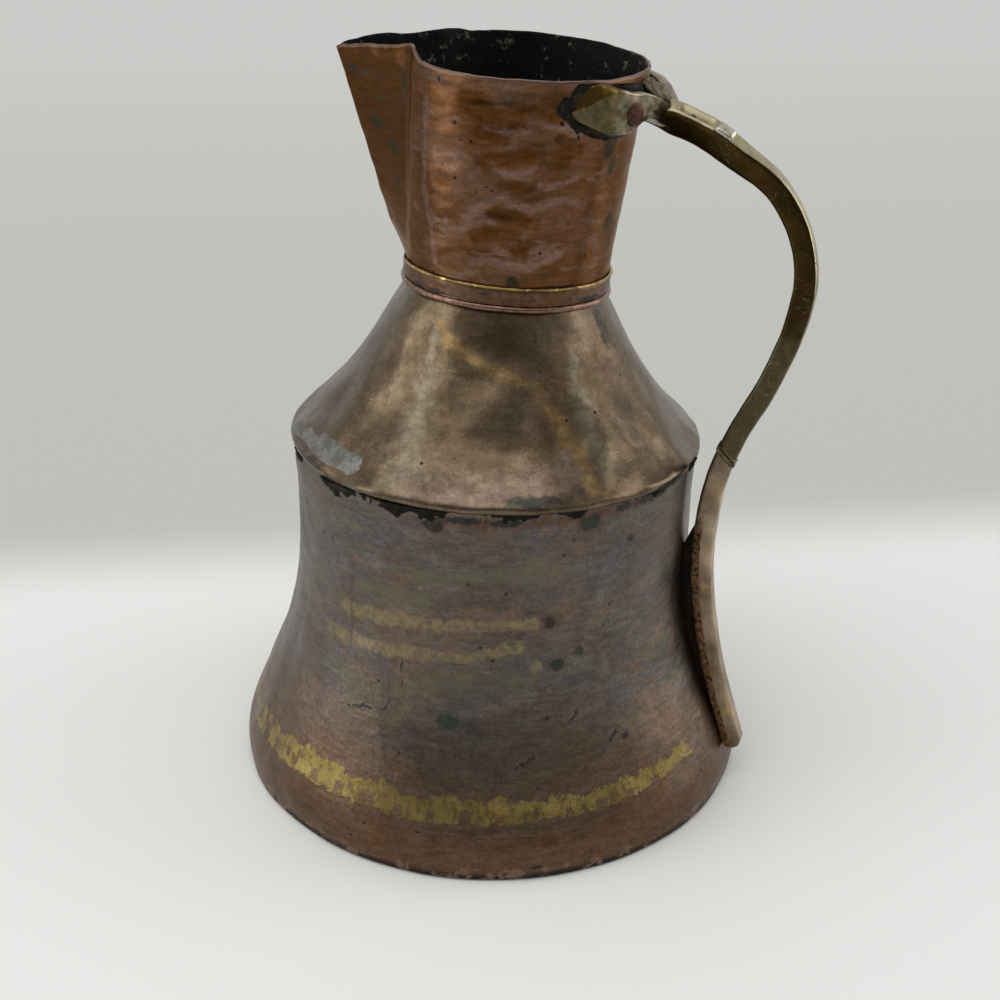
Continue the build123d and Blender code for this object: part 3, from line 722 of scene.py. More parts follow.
def section_outline(part, arc=150, crease=4, panel=34, nose=14):
    """Points round the neck's section at a share of its height, the spout towards -X."""
    n = settings("neck")
    radius = blend(n.collar_radius, n.top_radius, part)
    fold = blend(n.foot_nose, n.top_nose, part)
    bow = n.belly * min(part / n.belly_share, (1 - part) / (1 - n.belly_share))
    front = blend(n.foot_reach, n.top_reach, part) + bow - fold
    angle_in = blend(n.foot_angle, n.top_angle, part)
    bend = angle_in + n.crease_turn
    root = Vector((cos(angle_in), sin(angle_in))) * (radius - n.crease_depth * min(part, 1))
    turn_in = Vector((cos(bend), sin(bend))) * radius
    towards = root - Vector((front, 0))
    swing = atan2(towards.y, towards.x) - acos(min(fold / towards.length, 1))
    touch = Vector((front + fold * cos(swing), fold * sin(swing)))
    half = [Vector((radius * cos(a), radius * sin(a))) for a in np.linspace(pi, bend, arc)]
    half += [turn_in.lerp(root, k / crease) for k in range(1, crease + 1)]
    half += [root.lerp(touch, k / panel) for k in range(1, panel + 1)]
    half += [Vector((front + fold * cos(swing * (1 - k / nose)), fold * sin(swing * (1 - k / nose))))
             for k in range(1, nose + 1)]
    upper = np.array([(p.x, p.y) for p in half])
    lower = upper[::-1][1:-1] * (1, -1)
    ring = np.concatenate([upper, lower])[::-1]
    for _ in range(6):
        ring = (np.roll(ring, 1, 0) + 2 * ring + np.roll(ring, -1, 0)) / 4
    return -ring


def neck_surface():
    """Function that gives points of the smooth neck at a height for each place round it."""
    n = settings("neck")
    shares = np.linspace(0, 1.16, 30)
    rings = np.array([section_outline(part) for part in shares])

    def at(height):
        part = np.clip((height - n.collar_band) / (n.rise - n.collar_band), 0, shares[-1] - 1e-6)
        place = part / shares[1]
        low = np.floor(place).astype(int)
        column = np.arange(rings.shape[1])[None, :] + 0 * low
        flat = rings[low, column] + (rings[low + 1, column] - rings[low, column]) * (place - low)[..., None]
        return np.concatenate([flat, height[..., None]], -1)

    return at, rings.shape[1]


def plane_over(matrix, point, tilt, azimuth):
    """Slanted plane through a point of the neck's frame: its origin and normal."""
    origin = placed(matrix, np.array(point))
    normal = np.array([sin(tilt) * cos(azimuth), sin(tilt) * sin(azimuth), cos(tilt)])
    return origin, normal


def neck_tops(surface, columns, matrix):
    """Height of the sheet's edge at each place round the neck."""
    n, s = settings("neck"), settings("shoulder")
    crease_out = (n.top_radius - n.crease_depth) * cos(n.top_angle)
    rim = plane_over(matrix, (0, 0, n.rise), n.rim_tilt, n.rim_azimuth)
    edge = plane_over(matrix, (-crease_out, 0, n.rise + n.crown), n.fall, pi + s.neck_turn)
    tops = []
    for origin, normal in (rim, edge):
        height = np.full((1, columns), n.rise)
        for _ in range(6):
            height = height - (placed(matrix, surface(height)) - origin) @ normal
        tops.append(height[0])
    places = surface(np.full((1, columns), n.rise))[0]
    in_spout = ease(crease_out - 6.5 * MM, crease_out + 1.2 * MM, -places[:, 0])
    from_tip = np.hypot(places[:, 0] + n.top_reach, places[:, 1])
    ahead, aside = (places[:, 0] + 62 * MM) / (12 * MM), (places[:, 1] - 14 * MM) / (10 * MM)
    far_side = np.exp(-(ahead**2 + aside**2))
    nip = 1.8 * MM * far_side - 1.5 * MM * np.exp(-(from_tip / (3.2 * MM)) ** 2)
    wavy = lumps(places, (0.55, 16, 71.0), (0.22, 4.5, 73.0))
    return blend(tops[0], tops[1], in_spout) + wavy + nip, in_spout


NECK_MARKS = {
    "grey": ([([(-172, 74), (-149, 77.5)], 1.5), ([(-166, 66.7), (-149, 68.5)], 1.3),
              ([(-149, 82), (-150, 67)], 1.8), ([(-131, 82), (-112, 79)], 4)],
             [(-84, 77, 5.5, 4.5), (-15, 30, 5, 12)]),
    "green": ([], [(-168.8, 57.5, 3.8, 4.2), (-159.6, 49.5, 4.4, 4.0), (-160.4, 36, 2.4, 3.0),
                   (-160.8, 17.7, 2.0, 3.2), (-31, 60, 4.6, 5.4), (-27, 53, 3.8, 5.4), (-20, 32, 3.8, 5),
                   (-75.9, 10.2, 3.6, 3.0), (-150, 75, 1.6, 5), (-14, 22, 2.6, 5)]),
    "dark": ([], [(-118, 80, 0.9, 1.1), (-109, 66, 1.1, 0.9), (-92, 45, 0.9, 0.6), (-89, 44, 0.8, 0.7),
                  (-63, 22, 1.0, 0.8), (-174, 76, 1.5, 1.5), (-35, 20, 1.0, 1.2), (-50, 33, 0.9, 0.7),
                  (-58, 76, 0.9, 0.9), (-52, 71, 0.8, 0.9)]),
    "stain": ([([(-104, 74), (-88, 70), (-72, 72), (-62, 76)], 6.5), ([(-94, 54), (-76, 57), (-56, 56)], 4.4),
               ([(-96, 26), (-84, 28), (-74, 23)], 5.5), ([(-86, 46), (-70, 47)], 2.6),
               ([(-88, 36), (-66, 33)], 3.2), ([(-98, 64), (-84, 62)], 3.0), ([(-60, 64), (-50, 60)], 3.0)],),
    # Painted reflection: pinkish wavy bands of the dented copper, and a lighter strip at the left.
    "sheen": ([([(-94, 66), (-84, 65), (-74, 70), (-58, 67), (-50, 70)], 2.2),
               ([(-100, 48), (-91, 54), (-82, 50), (-72, 52), (-64, 58)], 2.0),
               ([(-98, 36), (-84, 42), (-70, 38), (-56, 42), (-42, 40)], 2.6),
               ([(-80, 50), (-64, 46), (-48, 50)], 1.8), ([(-126, 72), (-128, 40), (-120, 14)], 2.4),
               ([(-92, 18), (-70, 16), (-50, 22)], 2.6)],),
}


class PITCHER_OT_neck(Operator):
    """Raise the flared neck and fold its spout"""
    bl_idname = "pitcher.neck"
    bl_label = "Neck and spout"

    def execute(self, context):
        n = settings("neck")
        matrix = neck_matrix()
        surface, columns = neck_surface()
        tops, in_spout = neck_tops(surface, columns, matrix)
        heights = blend(n.collar_band, tops[None, :], np.linspace(0, 1, 92)[:, None])
        foot = np.array([0.0, 0.5])[:, None] * n.collar_band + 0 * tops[None, :]
        heights = np.concatenate([foot, heights])
        flat = surface(heights)
        foot_ring = surface(np.full((1, columns), n.collar_band))[0]
        ring_scale = n.collar_radius / np.maximum(np.hypot(foot_ring[:, 0], foot_ring[:, 1]), n.collar_radius)
        flat[:2, :, :2] = foot_ring[None, :, :2] * ring_scale[None, :, None]
        along = np.roll(flat, -1, 1) - np.roll(flat, 1, 1)
        outward = np.stack([along[..., 1], -along[..., 0], 0 * along[..., 0]], -1)
        outward /= np.linalg.norm(outward, axis=-1, keepdims=True)
        fade = ease(n.collar_band, n.collar_band + 8 * MM, heights)
        out = (beaten(flat, n, 81.0, (1, 1, 2.4)) + lumps(flat, (0.10, 9, 83.0, (0.6, 0.6, 2.6)))) * fade
        grid = placed(matrix, flat + outward * out[..., None])
        rise = flat[..., 2]
        fields = stain_fields(NECK_MARKS, np.arctan2(flat[..., 1], flat[..., 0]), rise, n.top_radius)
        fields["spout"] = np.broadcast_to(in_spout[None, :], rise.shape)
        fields["edge"] = 1 - (tops[None, :] - rise) / (1.3 * MM)
        finishes = [finish_neck(), finish_lining(), finish_rim()]
        faces = tube_faces(len(grid), columns)
        piece = add_piece("neck_sheet", "neck_and_spout", grid, faces, finishes, fields)
        thicken(piece, settings("skirt").sheet, 1, 2)
        return {"FINISHED"}


# Out from the base's middle and up, in millimetres, along the middle of the bar and of the strap.
BAR_LINE = [(50.0, 280.2), (64.0, 278.0), (80.0, 272.4), (91.0, 266.0), (107.4, 254.6),
            (118.4, 236.5), (121.4, 221.0), (119.6, 206.0), (112.0, 181.8), (101.8, 159.2)]
STEP = 0.5 * MM         # length over which the line's direction is measured
STRAP_LINE = [(96.9, 145.4), (93.4, 128.0), (92.3, 104.0), (96.0, 73.0), (103.9, 42.0), (111.2, 20.5)]


def handle_line():
    """Middle line of bar and strap: functions of the length, and the whole length."""
    knots = np.array(BAR_LINE + STRAP_LINE) * MM
    steps = np.concatenate([[0], np.cumsum(np.hypot(*np.diff(knots, axis=0).T))])
    out, up = curve_through(steps, knots[:, 0]), curve_through(steps, knots[:, 1])
    return out, up, steps[-1]


def bar_points(place, flat_across, flat_side, seed=91.0):
    """Points on the bar at lengths along it, for shares of its half depth and half width."""
    h = settings("handle")
    out, up, _ = handle_line()
    ahead = np.stack([out(place + STEP) - out(place - STEP), up(place + STEP) - up(place - STEP)], -1)
    ahead /= np.linalg.norm(ahead, axis=-1, keepdims=True)
    roll = h.roll * (1 - ease(h.roll_start, h.roll_end, place))
    thick = blend(h.stem_depth, h.depth, ease(16 * MM, h.stem_length + 16 * MM, place))
    thick = thick * blend(0.40, 1.0, ease(4 * MM, 19 * MM, place))
    deep, wide = thick / 2 * flat_across, h.width / 2 * flat_side
    deep, wide = deep * np.cos(roll) + wide * np.sin(roll), wide * np.cos(roll) - deep * np.sin(roll)
    across = np.stack([-ahead[..., 1], ahead[..., 0]], -1)
    x, z = out(place) + across[..., 0] * deep, up(place) + across[..., 1] * deep
    points = np.stack([x, wide, z], -1)
    bumps = lumps(points, (0.22, 16, seed), (0.12, 5, seed + 2))
    push = np.stack([across[..., 0] * deep, wide, across[..., 1] * deep], -1) / (h.depth / 2)
    return points + push * bumps[..., None]


def leaned(points):
    """Leans the bar sideways about the joint."""
    h = settings("handle")
    tip = Matrix.Rotation(-h.lean, 3, "X")
    centre = np.array([0, 0, h.scarf_height])
    return (points - centre) @ np.array(tip).T + centre


def bar_section(count=44, power=5.5):
    """Rounded square as shares of the half depth and the half width."""
    turns = azimuths(count)
    c, s = np.cos(turns), np.sin(turns)
    return np.sign(c) * abs(c) ** (2 / power), np.sign(s) * abs(s) ** (2 / power)


def scarf_lengths(across, side, shift):
    """Length along the handle where each line of the bar meets the slanted joint."""
    h = settings("handle")
    _, _, whole = handle_line()
    normal = np.array([sin(h.scarf_slope), 0, cos(h.scarf_slope)])
    origin = np.array([h.scarf_out, 0, h.scarf_height]) + normal * shift
    place = np.full(len(across), whole * 0.6)
    for _ in range(30):
        place = place + ((bar_points(place, across, side) - origin) @ normal) * 0.9
    return place


def strip_caps(columns, offset):
    """Quads that close a rounded-square ring across its width."""
    pairs = [(j, (columns - j) % columns) for j in range(columns // 2 + 1)]
    return [[offset + k for k in dict.fromkeys((a, c, d, b))] for (a, b), (c, d) in zip(pairs, pairs[1:])]


def bar_faces(rows, columns):
    """Quads of the bar or the strap, with both ends closed."""
    faces = flipped(tube_faces(rows, columns)) + strip_caps(columns, 0)
    return faces + flipped(strip_caps(columns, (rows - 1) * columns))


class PITCHER_OT_handle(Operator):
    """Forge the brass bar and the copper strap"""
    bl_idname = "pitcher.handle"
    bl_label = "Bar and strap"

    def execute(self, context):
        h = settings("handle")
        across, side = bar_section()
        half = h.scarf_gap / 2
        self.forge_bar(across, side, scarf_lengths(across, side, half))
        self.forge_strap(across, side, scarf_lengths(across, side, -half))
        return {"FINISHED"}

    def forge_bar(self, across, side, ends):
        """Brass bar with its slot, from inside the rim to the slanted joint."""
        h = settings("handle")
        start = 5.4 * MM
        place = blend(start, ends[None, :], np.linspace(0, 1, 190)[:, None])
        a, w = across[None, :] + 0 * place, side[None, :] + 0 * place
        middle = 1 - ease(0.3, 1.0, abs(w) * h.width / h.slot_width)
        in_slot = ease(h.slot_start - MM, h.slot_start + 2 * MM, place)
        in_slot = in_slot * (1 - ease(h.slot_end - 1.5 * MM, h.slot_end, place))
        cut = (a > 0.9) * middle * in_slot * h.slot_depth
        grid = leaned(bar_points(place, a - cut / (h.depth / 2), w))
        pits = np.maximum(pit_field(place, a, w, 14 * MM, 0.3), pit_field(place, a, w, 16.5 * MM, -0.45))
        spots = np.maximum(1 - abs(place - 24 * MM) / (2 * MM), 1 - abs(place - 33 * MM) / (2.4 * MM))
        fields = {
            "rub_and_sheen": np.clip((a - abs(w)) * 5, -0.7, 0.7) - 0.5 * ease(75 * MM, 110 * MM, place),
            "dark": np.maximum(np.where(cut > 0.5 * h.slot_depth, spots, -1), pits),
            "shade": np.clip((-a - abs(w)) * 5, -0.7, 0.7),
            "low": 2 * ease(90 * MM, 135 * MM, place) - 1,
        }
        add_piece("bar_forged", "handle_bar", grid, bar_faces(*grid.shape[:2]), [finish_bar()], fields)

    def forge_strap(self, across, side, starts):
        """Copper strap from the slanted joint to its rounded end at the base's seam."""
        out, up, whole = handle_line()
        round_end = np.sqrt(np.clip(1 - across**2, 0, 1)) * settings("handle").depth / 2
        place = blend(starts[None, :], (whole + round_end)[None, :], np.linspace(0, 1, 120)[:, None])
        a, w = across[None, :] + 0 * place, side[None, :] + 0 * place
        beyond = np.clip(place - whole, 0, None)
        place = np.minimum(place, whole)
        ahead = np.array([out(whole) - out(whole - STEP), 0, up(whole) - up(whole - STEP)])
        ahead /= np.linalg.norm(ahead)
        grid = bar_points(place, a, w, 95.0) + ahead * beyond[..., None]
        web_start = whole * 0.66
        fields = {
            "rub_and_sheen": np.where(a > 0.9, 0.2, -0.5) + 0 * place,
            # Painted shade on the face towards the body.
            "dark": np.where(a < -0.85, 0.4, -0.6) + 0 * place,
            "web": 3.2 * (-0.10 - a) * ease(web_start, whole * 0.70, place) - 0.6 * (place < web_start),
            "upper": 1 - (place - 0.57 * whole) / (22 * MM),
            "gilt": np.sin(place / (11 * MM)) * (w < 0) - 0.4 * a,
        }
        add_piece("strap_forged", "handle_strap", grid, bar_faces(*grid.shape[:2]), [finish_strap()], fields)


def pit_field(place, across, side, at, where):
    """Field of one dark pit on the near face of the bar."""
    reach = np.hypot((place - at) / (1.1 * MM), (across - where) / 0.45)
    return np.where(side < -0.85, 1 - reach, -1)


def wall_radius(rise):
    """Radius of the neck at a rise over the collar's bead, away from the spout."""
    n = settings("neck")
    return blend(n.collar_radius, n.top_radius, (rise - n.collar_band) / (n.rise - n.collar_band))


# Stations of a wing in millimetres, from its tip to the stem: length along it, rise of its middle, half
# height, thickness, and as a share the height of the ridge between its upper and its middle facet.
WING_STATIONS = np.array([
    (0.0, 73.2, 0.7, 0.9, 0.00), (1.2, 73.9, 2.6, 1.7, 0.00), (3.0, 74.6, 4.8, 2.5, 0.02),
    (5.8, 75.1, 6.7, 3.1, 0.10), (9.0, 74.9, 8.0, 3.6, 0.34), (13.0, 74.3, 8.8, 3.9, 0.60),
    (18.0, 73.5, 8.9, 4.0, 0.82), (24.0, 72.7, 8.1, 4.1, 0.98), (28.5, 72.8, 7.4, 4.2, 0.99),
    (31.5, 74.2, 5.9, 4.3, 0.99), (36.0, 74.6, 4.6, 4.3, 0.99), (40.0, 73.4, 4.5, 4.1, 0.99),
    (44.0, 71.9, 4.5, 3.6, 0.99), (48.0, 70.4, 4.2, 3.0, 0.99), (52.0, 69.0, 3.8, 2.2, 0.99)])
WING_TIP, WING_LEAVE = radians(-57.0), radians(-37.0)      # azimuths of its tip and where it leaves the wall
WING_RISE = 73 * MM
WING_FACE = 3.9         # how far its face stands off the wall, in millimetres


def wing_path(run):
    """Plan of a wing's outer face at a length along it: it follows the wall, then leaves it straight."""
    outer = wall_radius(WING_RISE) + WING_FACE * MM
    bend = (WING_LEAVE - WING_TIP) * outer
    azimuth = WING_TIP + np.minimum(run, bend) / outer
    normal = np.stack([np.cos(azimuth), np.sin(azimuth)], -1)
    ahead = np.stack([-np.sin(azimuth), np.cos(azimuth)], -1)
    return normal * outer + ahead * np.maximum(run - bend, 0)[..., None], normal


class PITCHER_OT_fork(Operator):
    """Forge the two wings that clasp the neck, with their rivets and solder"""
    bl_idname = "pitcher.fork"
    bl_label = "Fork, rivets and solder"

    def execute(self, context):
        far_lift, far_turn = 3.0 * MM, radians(11.5)
        for name, side, lift, turn in (("near", 1, 0.0, 0.0), ("far", -1, far_lift, far_turn)):
            self.forge_wing(name, side, lift, turn)
            self.set_solder(name, side, lift, turn)
            self.set_rivet(name, side, lift, turn)
        self.lay_crust()
        return {"FINISHED"}

    def in_place(self, points, side, lift, turn):
        """Mirrors a piece of the near wing for the far side and turns it round the neck."""
        points = points * np.array([1, side, 1]) + np.array([0, 0, lift])
        wall_end, stem = 42 * MM, 60 * MM
        swing = turn * (1 - ease(wall_end, stem, points[..., 0]))
        c, n = np.cos(swing), np.sin(swing)
        x, y = points[..., 0], points[..., 1]
        return placed(neck_matrix(), np.stack([x * c - y * n, x * n + y * c, points[..., 2]], -1))

    def forge_wing(self, name, side, lift, turn):
        """Leaf with a lower and an upper facet and bevelled edges, and the arm that runs to the bar."""
        table = WING_STATIONS
        run = np.linspace(0, table[-1, 0], 130)
        rise, half, thick, ridge = (curve_through(table[:, 0], table[:, k])(run) for k in (1, 2, 3, 4))
        plan, normal = wing_path(run * MM)
        front = np.linspace(-1, 1, 41)
        low_bevel, high_bevel, top_ridge = 0.14, 0.10, 0.97
        low = np.clip((low_bevel - 1 - front) / low_bevel, 0, 1) * 0.7
        r = np.minimum(ridge, top_ridge)[:, None]
        upper = np.clip((front[None, :] - r) / (1 - r), 0, 1) * 0.42 * (1 - ease(0.8, top_ridge, r))
        edge = np.clip((front - 1 + high_bevel) / high_bevel, 0, 1) * 0.55
        out = 1 - low[None, :] - upper - edge[None, :] * ease(0.3, 0.9, r)
        out = np.maximum(out, 0.08) * thick[:, None] - WING_FACE
        back = np.linspace(1, -1, 7)
        v = np.concatenate([front, back])[None, :] * half[:, None]
        sunk = -4.3 - 0.6 * ease(20, 40, run)[:, None]      # back face, just inside the wall
        t = np.concatenate([out, np.repeat(sunk, len(back), 1)], 1)
        flat = np.concatenate([plan[:, None, :] + normal[:, None, :] * t[..., None] * MM,
                               (rise[:, None] + v)[..., None] * MM], -1)
        bumps = lumps(flat, (0.22, 7, 101.0 + side), (0.10, 2.6, 103.0))
        flare = wall_radius(flat[..., 2]) - wall_radius(WING_RISE)
        flat[..., :2] += normal[:, None, :] * (bumps + flare)[..., None]
        flat[..., 2] += 0.5 * bumps
        faces = closed_faces(len(flat), flat.shape[1], flip=side < 0)
        share_up = v / half[:, None]
        along = run[:, None] + 0 * v
        leaf_end = 20       # length along the wing where the leaf narrows to the arm, in millimetres
        shelf = np.where((share_up > r) & (t > -4.2), 1.0, -1.0) * (1 - ease(leaf_end, leaf_end + 6, along))
        fields = {
            "gold": shelf,
            # Painted highlights along the leaf's top and bottom edges; the lighter arm is rubbed.
            "rub_and_sheen": np.maximum(np.where(abs(share_up) > 0.9, 0.5, -0.8),
                              0.7 * ease(14, 22, along) * (1 - ease(38, 46, along)) - 0.45),
            "green": 1 - np.hypot((along - 23) / 4.5, (share_up - 0.25) / 0.6),
            "dark": 1 - np.hypot((along - 39) / 4.0, (share_up + 0.25) / 0.3),
        }
        grid = self.in_place(flat, side, lift, turn)
        add_piece("wing_" + name, "fork_wing_" + name, grid, faces, [finish_wing()], fields)

    def set_solder(self, name, side, lift, turn):
        """Border of black solder round the leaf, as a crust on the wall."""
        table = WING_STATIONS
        around, rise = np.meshgrid(np.linspace(-66, -8, 110), np.linspace(58, 88, 60), indexing="ij")
        outer = 47      # radius of the wall at the wing, in millimetres
        run = np.radians(around) * outer - WING_TIP * outer
        middle, half = np.interp(run, table[:, 0], table[:, 1]), np.interp(run, table[:, 0], table[:, 2])
        outside = np.where(run < 0, np.hypot(run, rise - middle), abs(rise - middle) - half)
        azimuth = np.radians(around)
        radius = wall_radius(rise * MM)
        flat = np.stack([radius * np.cos(azimuth), radius * np.sin(azimuth), rise * MM], -1)
        margin = blend(0.9, 2.6, ease(-6, 5, rise - middle)) + 1.5 * (1 - ease(0, 9, run))
        margin = margin + 0.8 * grain(flat, 6 * MM, 111.0) + 0.45 * grain(flat, 2.2 * MM, 113.0)
        lift_out = np.clip((margin - outside) * 0.8, -0.7, 1.6) + 0.35 * grain(flat, 2.0 * MM, 115.0)
        lift_out = np.minimum(lift_out, 0.5 + 0.9 * np.clip(outside + 0.6, 0, None))
        outward = np.stack([np.cos(azimuth), np.sin(azimuth), 0 * azimuth], -1)
        n = settings("neck")
        rim = (n.rise - 46 * MM * np.tan(n.rim_tilt) * np.cos(side * azimuth + turn - n.rim_azimuth)) / MM
        below = rise + lift / MM < rim - 0.3
        faces = tube_faces(*around.shape, ((outside < 5.5) & below)[:-1, :], closed=False)
        faces = flipped(faces) if side < 0 else faces
        grid = self.in_place(flat + outward * (lift_out * MM)[..., None], side, lift, turn)
        piece = add_piece("leaf_solder_" + name, "wing_solder_" + name, grid, faces, [finish_dark_solder()])
        thicken(piece, 0.5 * MM)

    def set_rivet(self, name, side, lift, turn):
        """Rivet through a wing and the wall, with a head on each side."""
        h = settings("handle")
        plan, normal = wing_path(np.array(h.rivet_place))
        outward = np.array([normal[0], normal[1], 0])
        where = np.array([plan[0], plan[1], h.rivet_rise])
        r, d = h.rivet_radius, h.rivet_depth
        azimuth, inside = radians(-20), wall_radius(h.rivet_rise) - 2.3 * MM
        wall = np.array([cos(azimuth) * inside, sin(azimuth) * inside, h.rivet_rise])
        depth = (where - wall) @ outward
        shank = 0.42 * r
        head = [(0.3 * r, d), (0.6 * r, d * 0.95), (0.82 * r, d * 0.75), (0.95 * r, d * 0.4), (r, -0.3 * MM)]
        tail = np.array([(3.8, 0), (3.6, -0.8), (2.4, -1.1), (1.0, -1.2)]) * MM - (0, depth)
        profile = head + [(shank, -0.8 * MM), (shank, -depth)] + tail.tolist()
        columns = 40
        turns = azimuths(columns)
        across, up = np.array([-outward[1], outward[0], 0]), np.array([0, 0, 1.0])
        grid = []
        for radius, out in profile:
            ring = across * (0.92 * radius * np.cos(turns))[:, None] + up * (radius * np.sin(turns))[:, None]
            sunk = np.clip(-out / depth, 0, 1)
            grid.append(where + (wall + outward * depth - where) * sunk + ring + outward * out)
        grid = np.array(grid)
        grid = self.in_place(grid + outward * lumps(grid, (0.25, 3, 121.0))[..., None], side, lift, turn)
        faces = closed_faces(len(grid), columns, flip=side > 0)
        add_piece("rivet_" + name, "wing_rivet_" + name, grid, faces, [finish_rivet()])

    def lay_crust(self):
        """Lumpy tin over the fork, in the corner behind the rim and along the top of the near wing."""
        columns, rows = 84, 30
        turns = azimuths(columns)
        lat = np.linspace(-0.46 * pi, 0.48 * pi, rows)[:, None]
        ball = ring_points(turns, np.cos(lat), np.sin(lat))
        radius = wall_radius(79 * MM)
        half_sizes = np.array([7.2, 9.0, 2.6]) * MM
        grid = ball * half_sizes
        grid = grid + ball * lumps(grid, (1.1, 4.5, 131.0), (1.3, 2.2, 133.0))[..., None]
        grid[..., 2] -= 0.55 * grid[..., 0]
        middle = np.array([radius + 2.8 * MM, -1.5 * MM, 79.8 * MM])
        grid = grid + middle
        wall = np.hypot(grid[..., 0], grid[..., 1])
        inside = radius + 0.15 * MM
        grid[..., :2] *= np.where(wall < inside, inside / wall, 1.0)[..., None]
        grid = placed(neck_matrix(), grid)
        add_piece("rim_tin_crust", "rim_solder", grid, closed_faces(rows, columns), [finish_crust()])


class PITCHER_OT_joint_trim(Operator):
    """Finish the small parts that keep their shape, and fill the gap under the strap"""
    bl_idname = "pitcher.joint_trim"
    bl_label = "Braze, plate and strap solder"

    def execute(self, context):
        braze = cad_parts["scarf_braze"]
        braze.data.materials.clear()
        braze.data.materials.append(finish_crust())
        self.let_in_plate()
        self.fill_gap()
        return {"FINISHED"}

    def let_in_plate(self):
        """Small plate on the upper face of the bar, after the slot."""
        h = settings("handle")
        rows, columns = 15, 13
        along, wide = np.meshgrid(np.linspace(-1, 1, rows), np.linspace(-1, 1, columns), indexing="ij")
        edge = np.maximum(abs(along), abs(wide))
        rise = np.where(edge > 0.99, -0.5, 0.55 - 0.25 * ease(0.7, 0.95, edge)) * MM
        middle, half = 36.4 * MM, 3.4 * MM
        grid = leaned(bar_points(middle + half * along, 1 + rise / (h.depth / 2), 0.70 * wide - 0.1))
        faces = tube_faces(rows, columns, closed=False)
        piece = add_piece("stem_plate", "stem_lap", grid, faces, [finish_plate()])
        thicken(piece, 0.4 * MM)

    def fill_gap(self):
        """Rough web between the strap and the body."""
        outline = skirt_outline()
        out, up, whole = handle_line()
        h = settings("handle")
        start, end = whole * 0.672, whole - 2 * MM
        place = np.linspace(start, end, 110)[:, None]
        columns = 24
        turns = azimuths(columns)[None, :]
        height = up(place)
        inner = outline(height) - 0.6 * MM
        outer = out(place) - h.depth * 0.3
        inner = outer - (outer - inner) * blend(0.08, 1, ease(whole * 0.655, whole * 0.735, place))
        centre, half = (inner + outer) / 2, (outer - inner) / 2
        x = centre + half * np.cos(turns)
        y = (h.width / 2 - 1.9 * MM) * np.sign(np.sin(turns)) * abs(np.sin(turns)) ** 0.6
        grid = np.stack([x, y + 0 * x, height + 0 * x], -1)
        grid[..., 1] += lumps(grid, (0.9, 6, 141.0), (0.5, 2.4, 143.0)) * np.sin(turns)
        faces = closed_faces(len(grid), columns, flip=True)
        add_piece("strap_solder_web", "strap_solder", grid, faces, [finish_solder_and_gap_shadow()])


class Nodes:
    """Adds nodes to a tree, with their values and links."""

    def __init__(self, tree):
        self.tree = tree

    def add(self, kind, values=None, **options):
        node = self.tree.nodes.new("ShaderNode" + kind)
        for key, value in options.items():
            setattr(node, key, value)
        for key, value in (values or {}).items():
            self.put(node.inputs[key], value)
        return node

    def put(self, socket, value):
        if isinstance(value, NodeSocket):
            self.tree.links.new(value, socket)
        else:
            socket.default_value = value

    def math(self, operation, first, second=0.0):
        return self.add("Math", {0: first, 1: second}, operation=operation).outputs[0]

    def plus(self, first, second):
        return self.math("ADD", first, second)

    def minus(self, first, second):
        return self.math("SUBTRACT", first, second)

    def times(self, first, second):
        return self.math("MULTIPLY", first, second)

    def split(self, vector, axis):
        return self.add("SeparateXYZ", {0: vector}).outputs[axis]

    def span(self, value, low, high, to_low=0.0, to_high=1.0):
        """Maps a range smoothly to another."""
        values = {"Value": value, "From Min": low, "From Max": high, "To Min": to_low, "To Max": to_high}
        return self.add("MapRange", values, interpolation_type="SMOOTHSTEP").outputs[0]

    def mixed(self, mask, first, second, blending="MIX"):
        """Mix of two colours."""
        values = {0: mask, 6: first, 7: second}
        return self.add("Mix", values, data_type="RGBA", blend_type=blending).outputs[2]

    def mixed_value(self, mask, first, second):
        return self.add("Mix", {0: mask, 2: first, 3: second}, data_type="FLOAT").outputs[0]


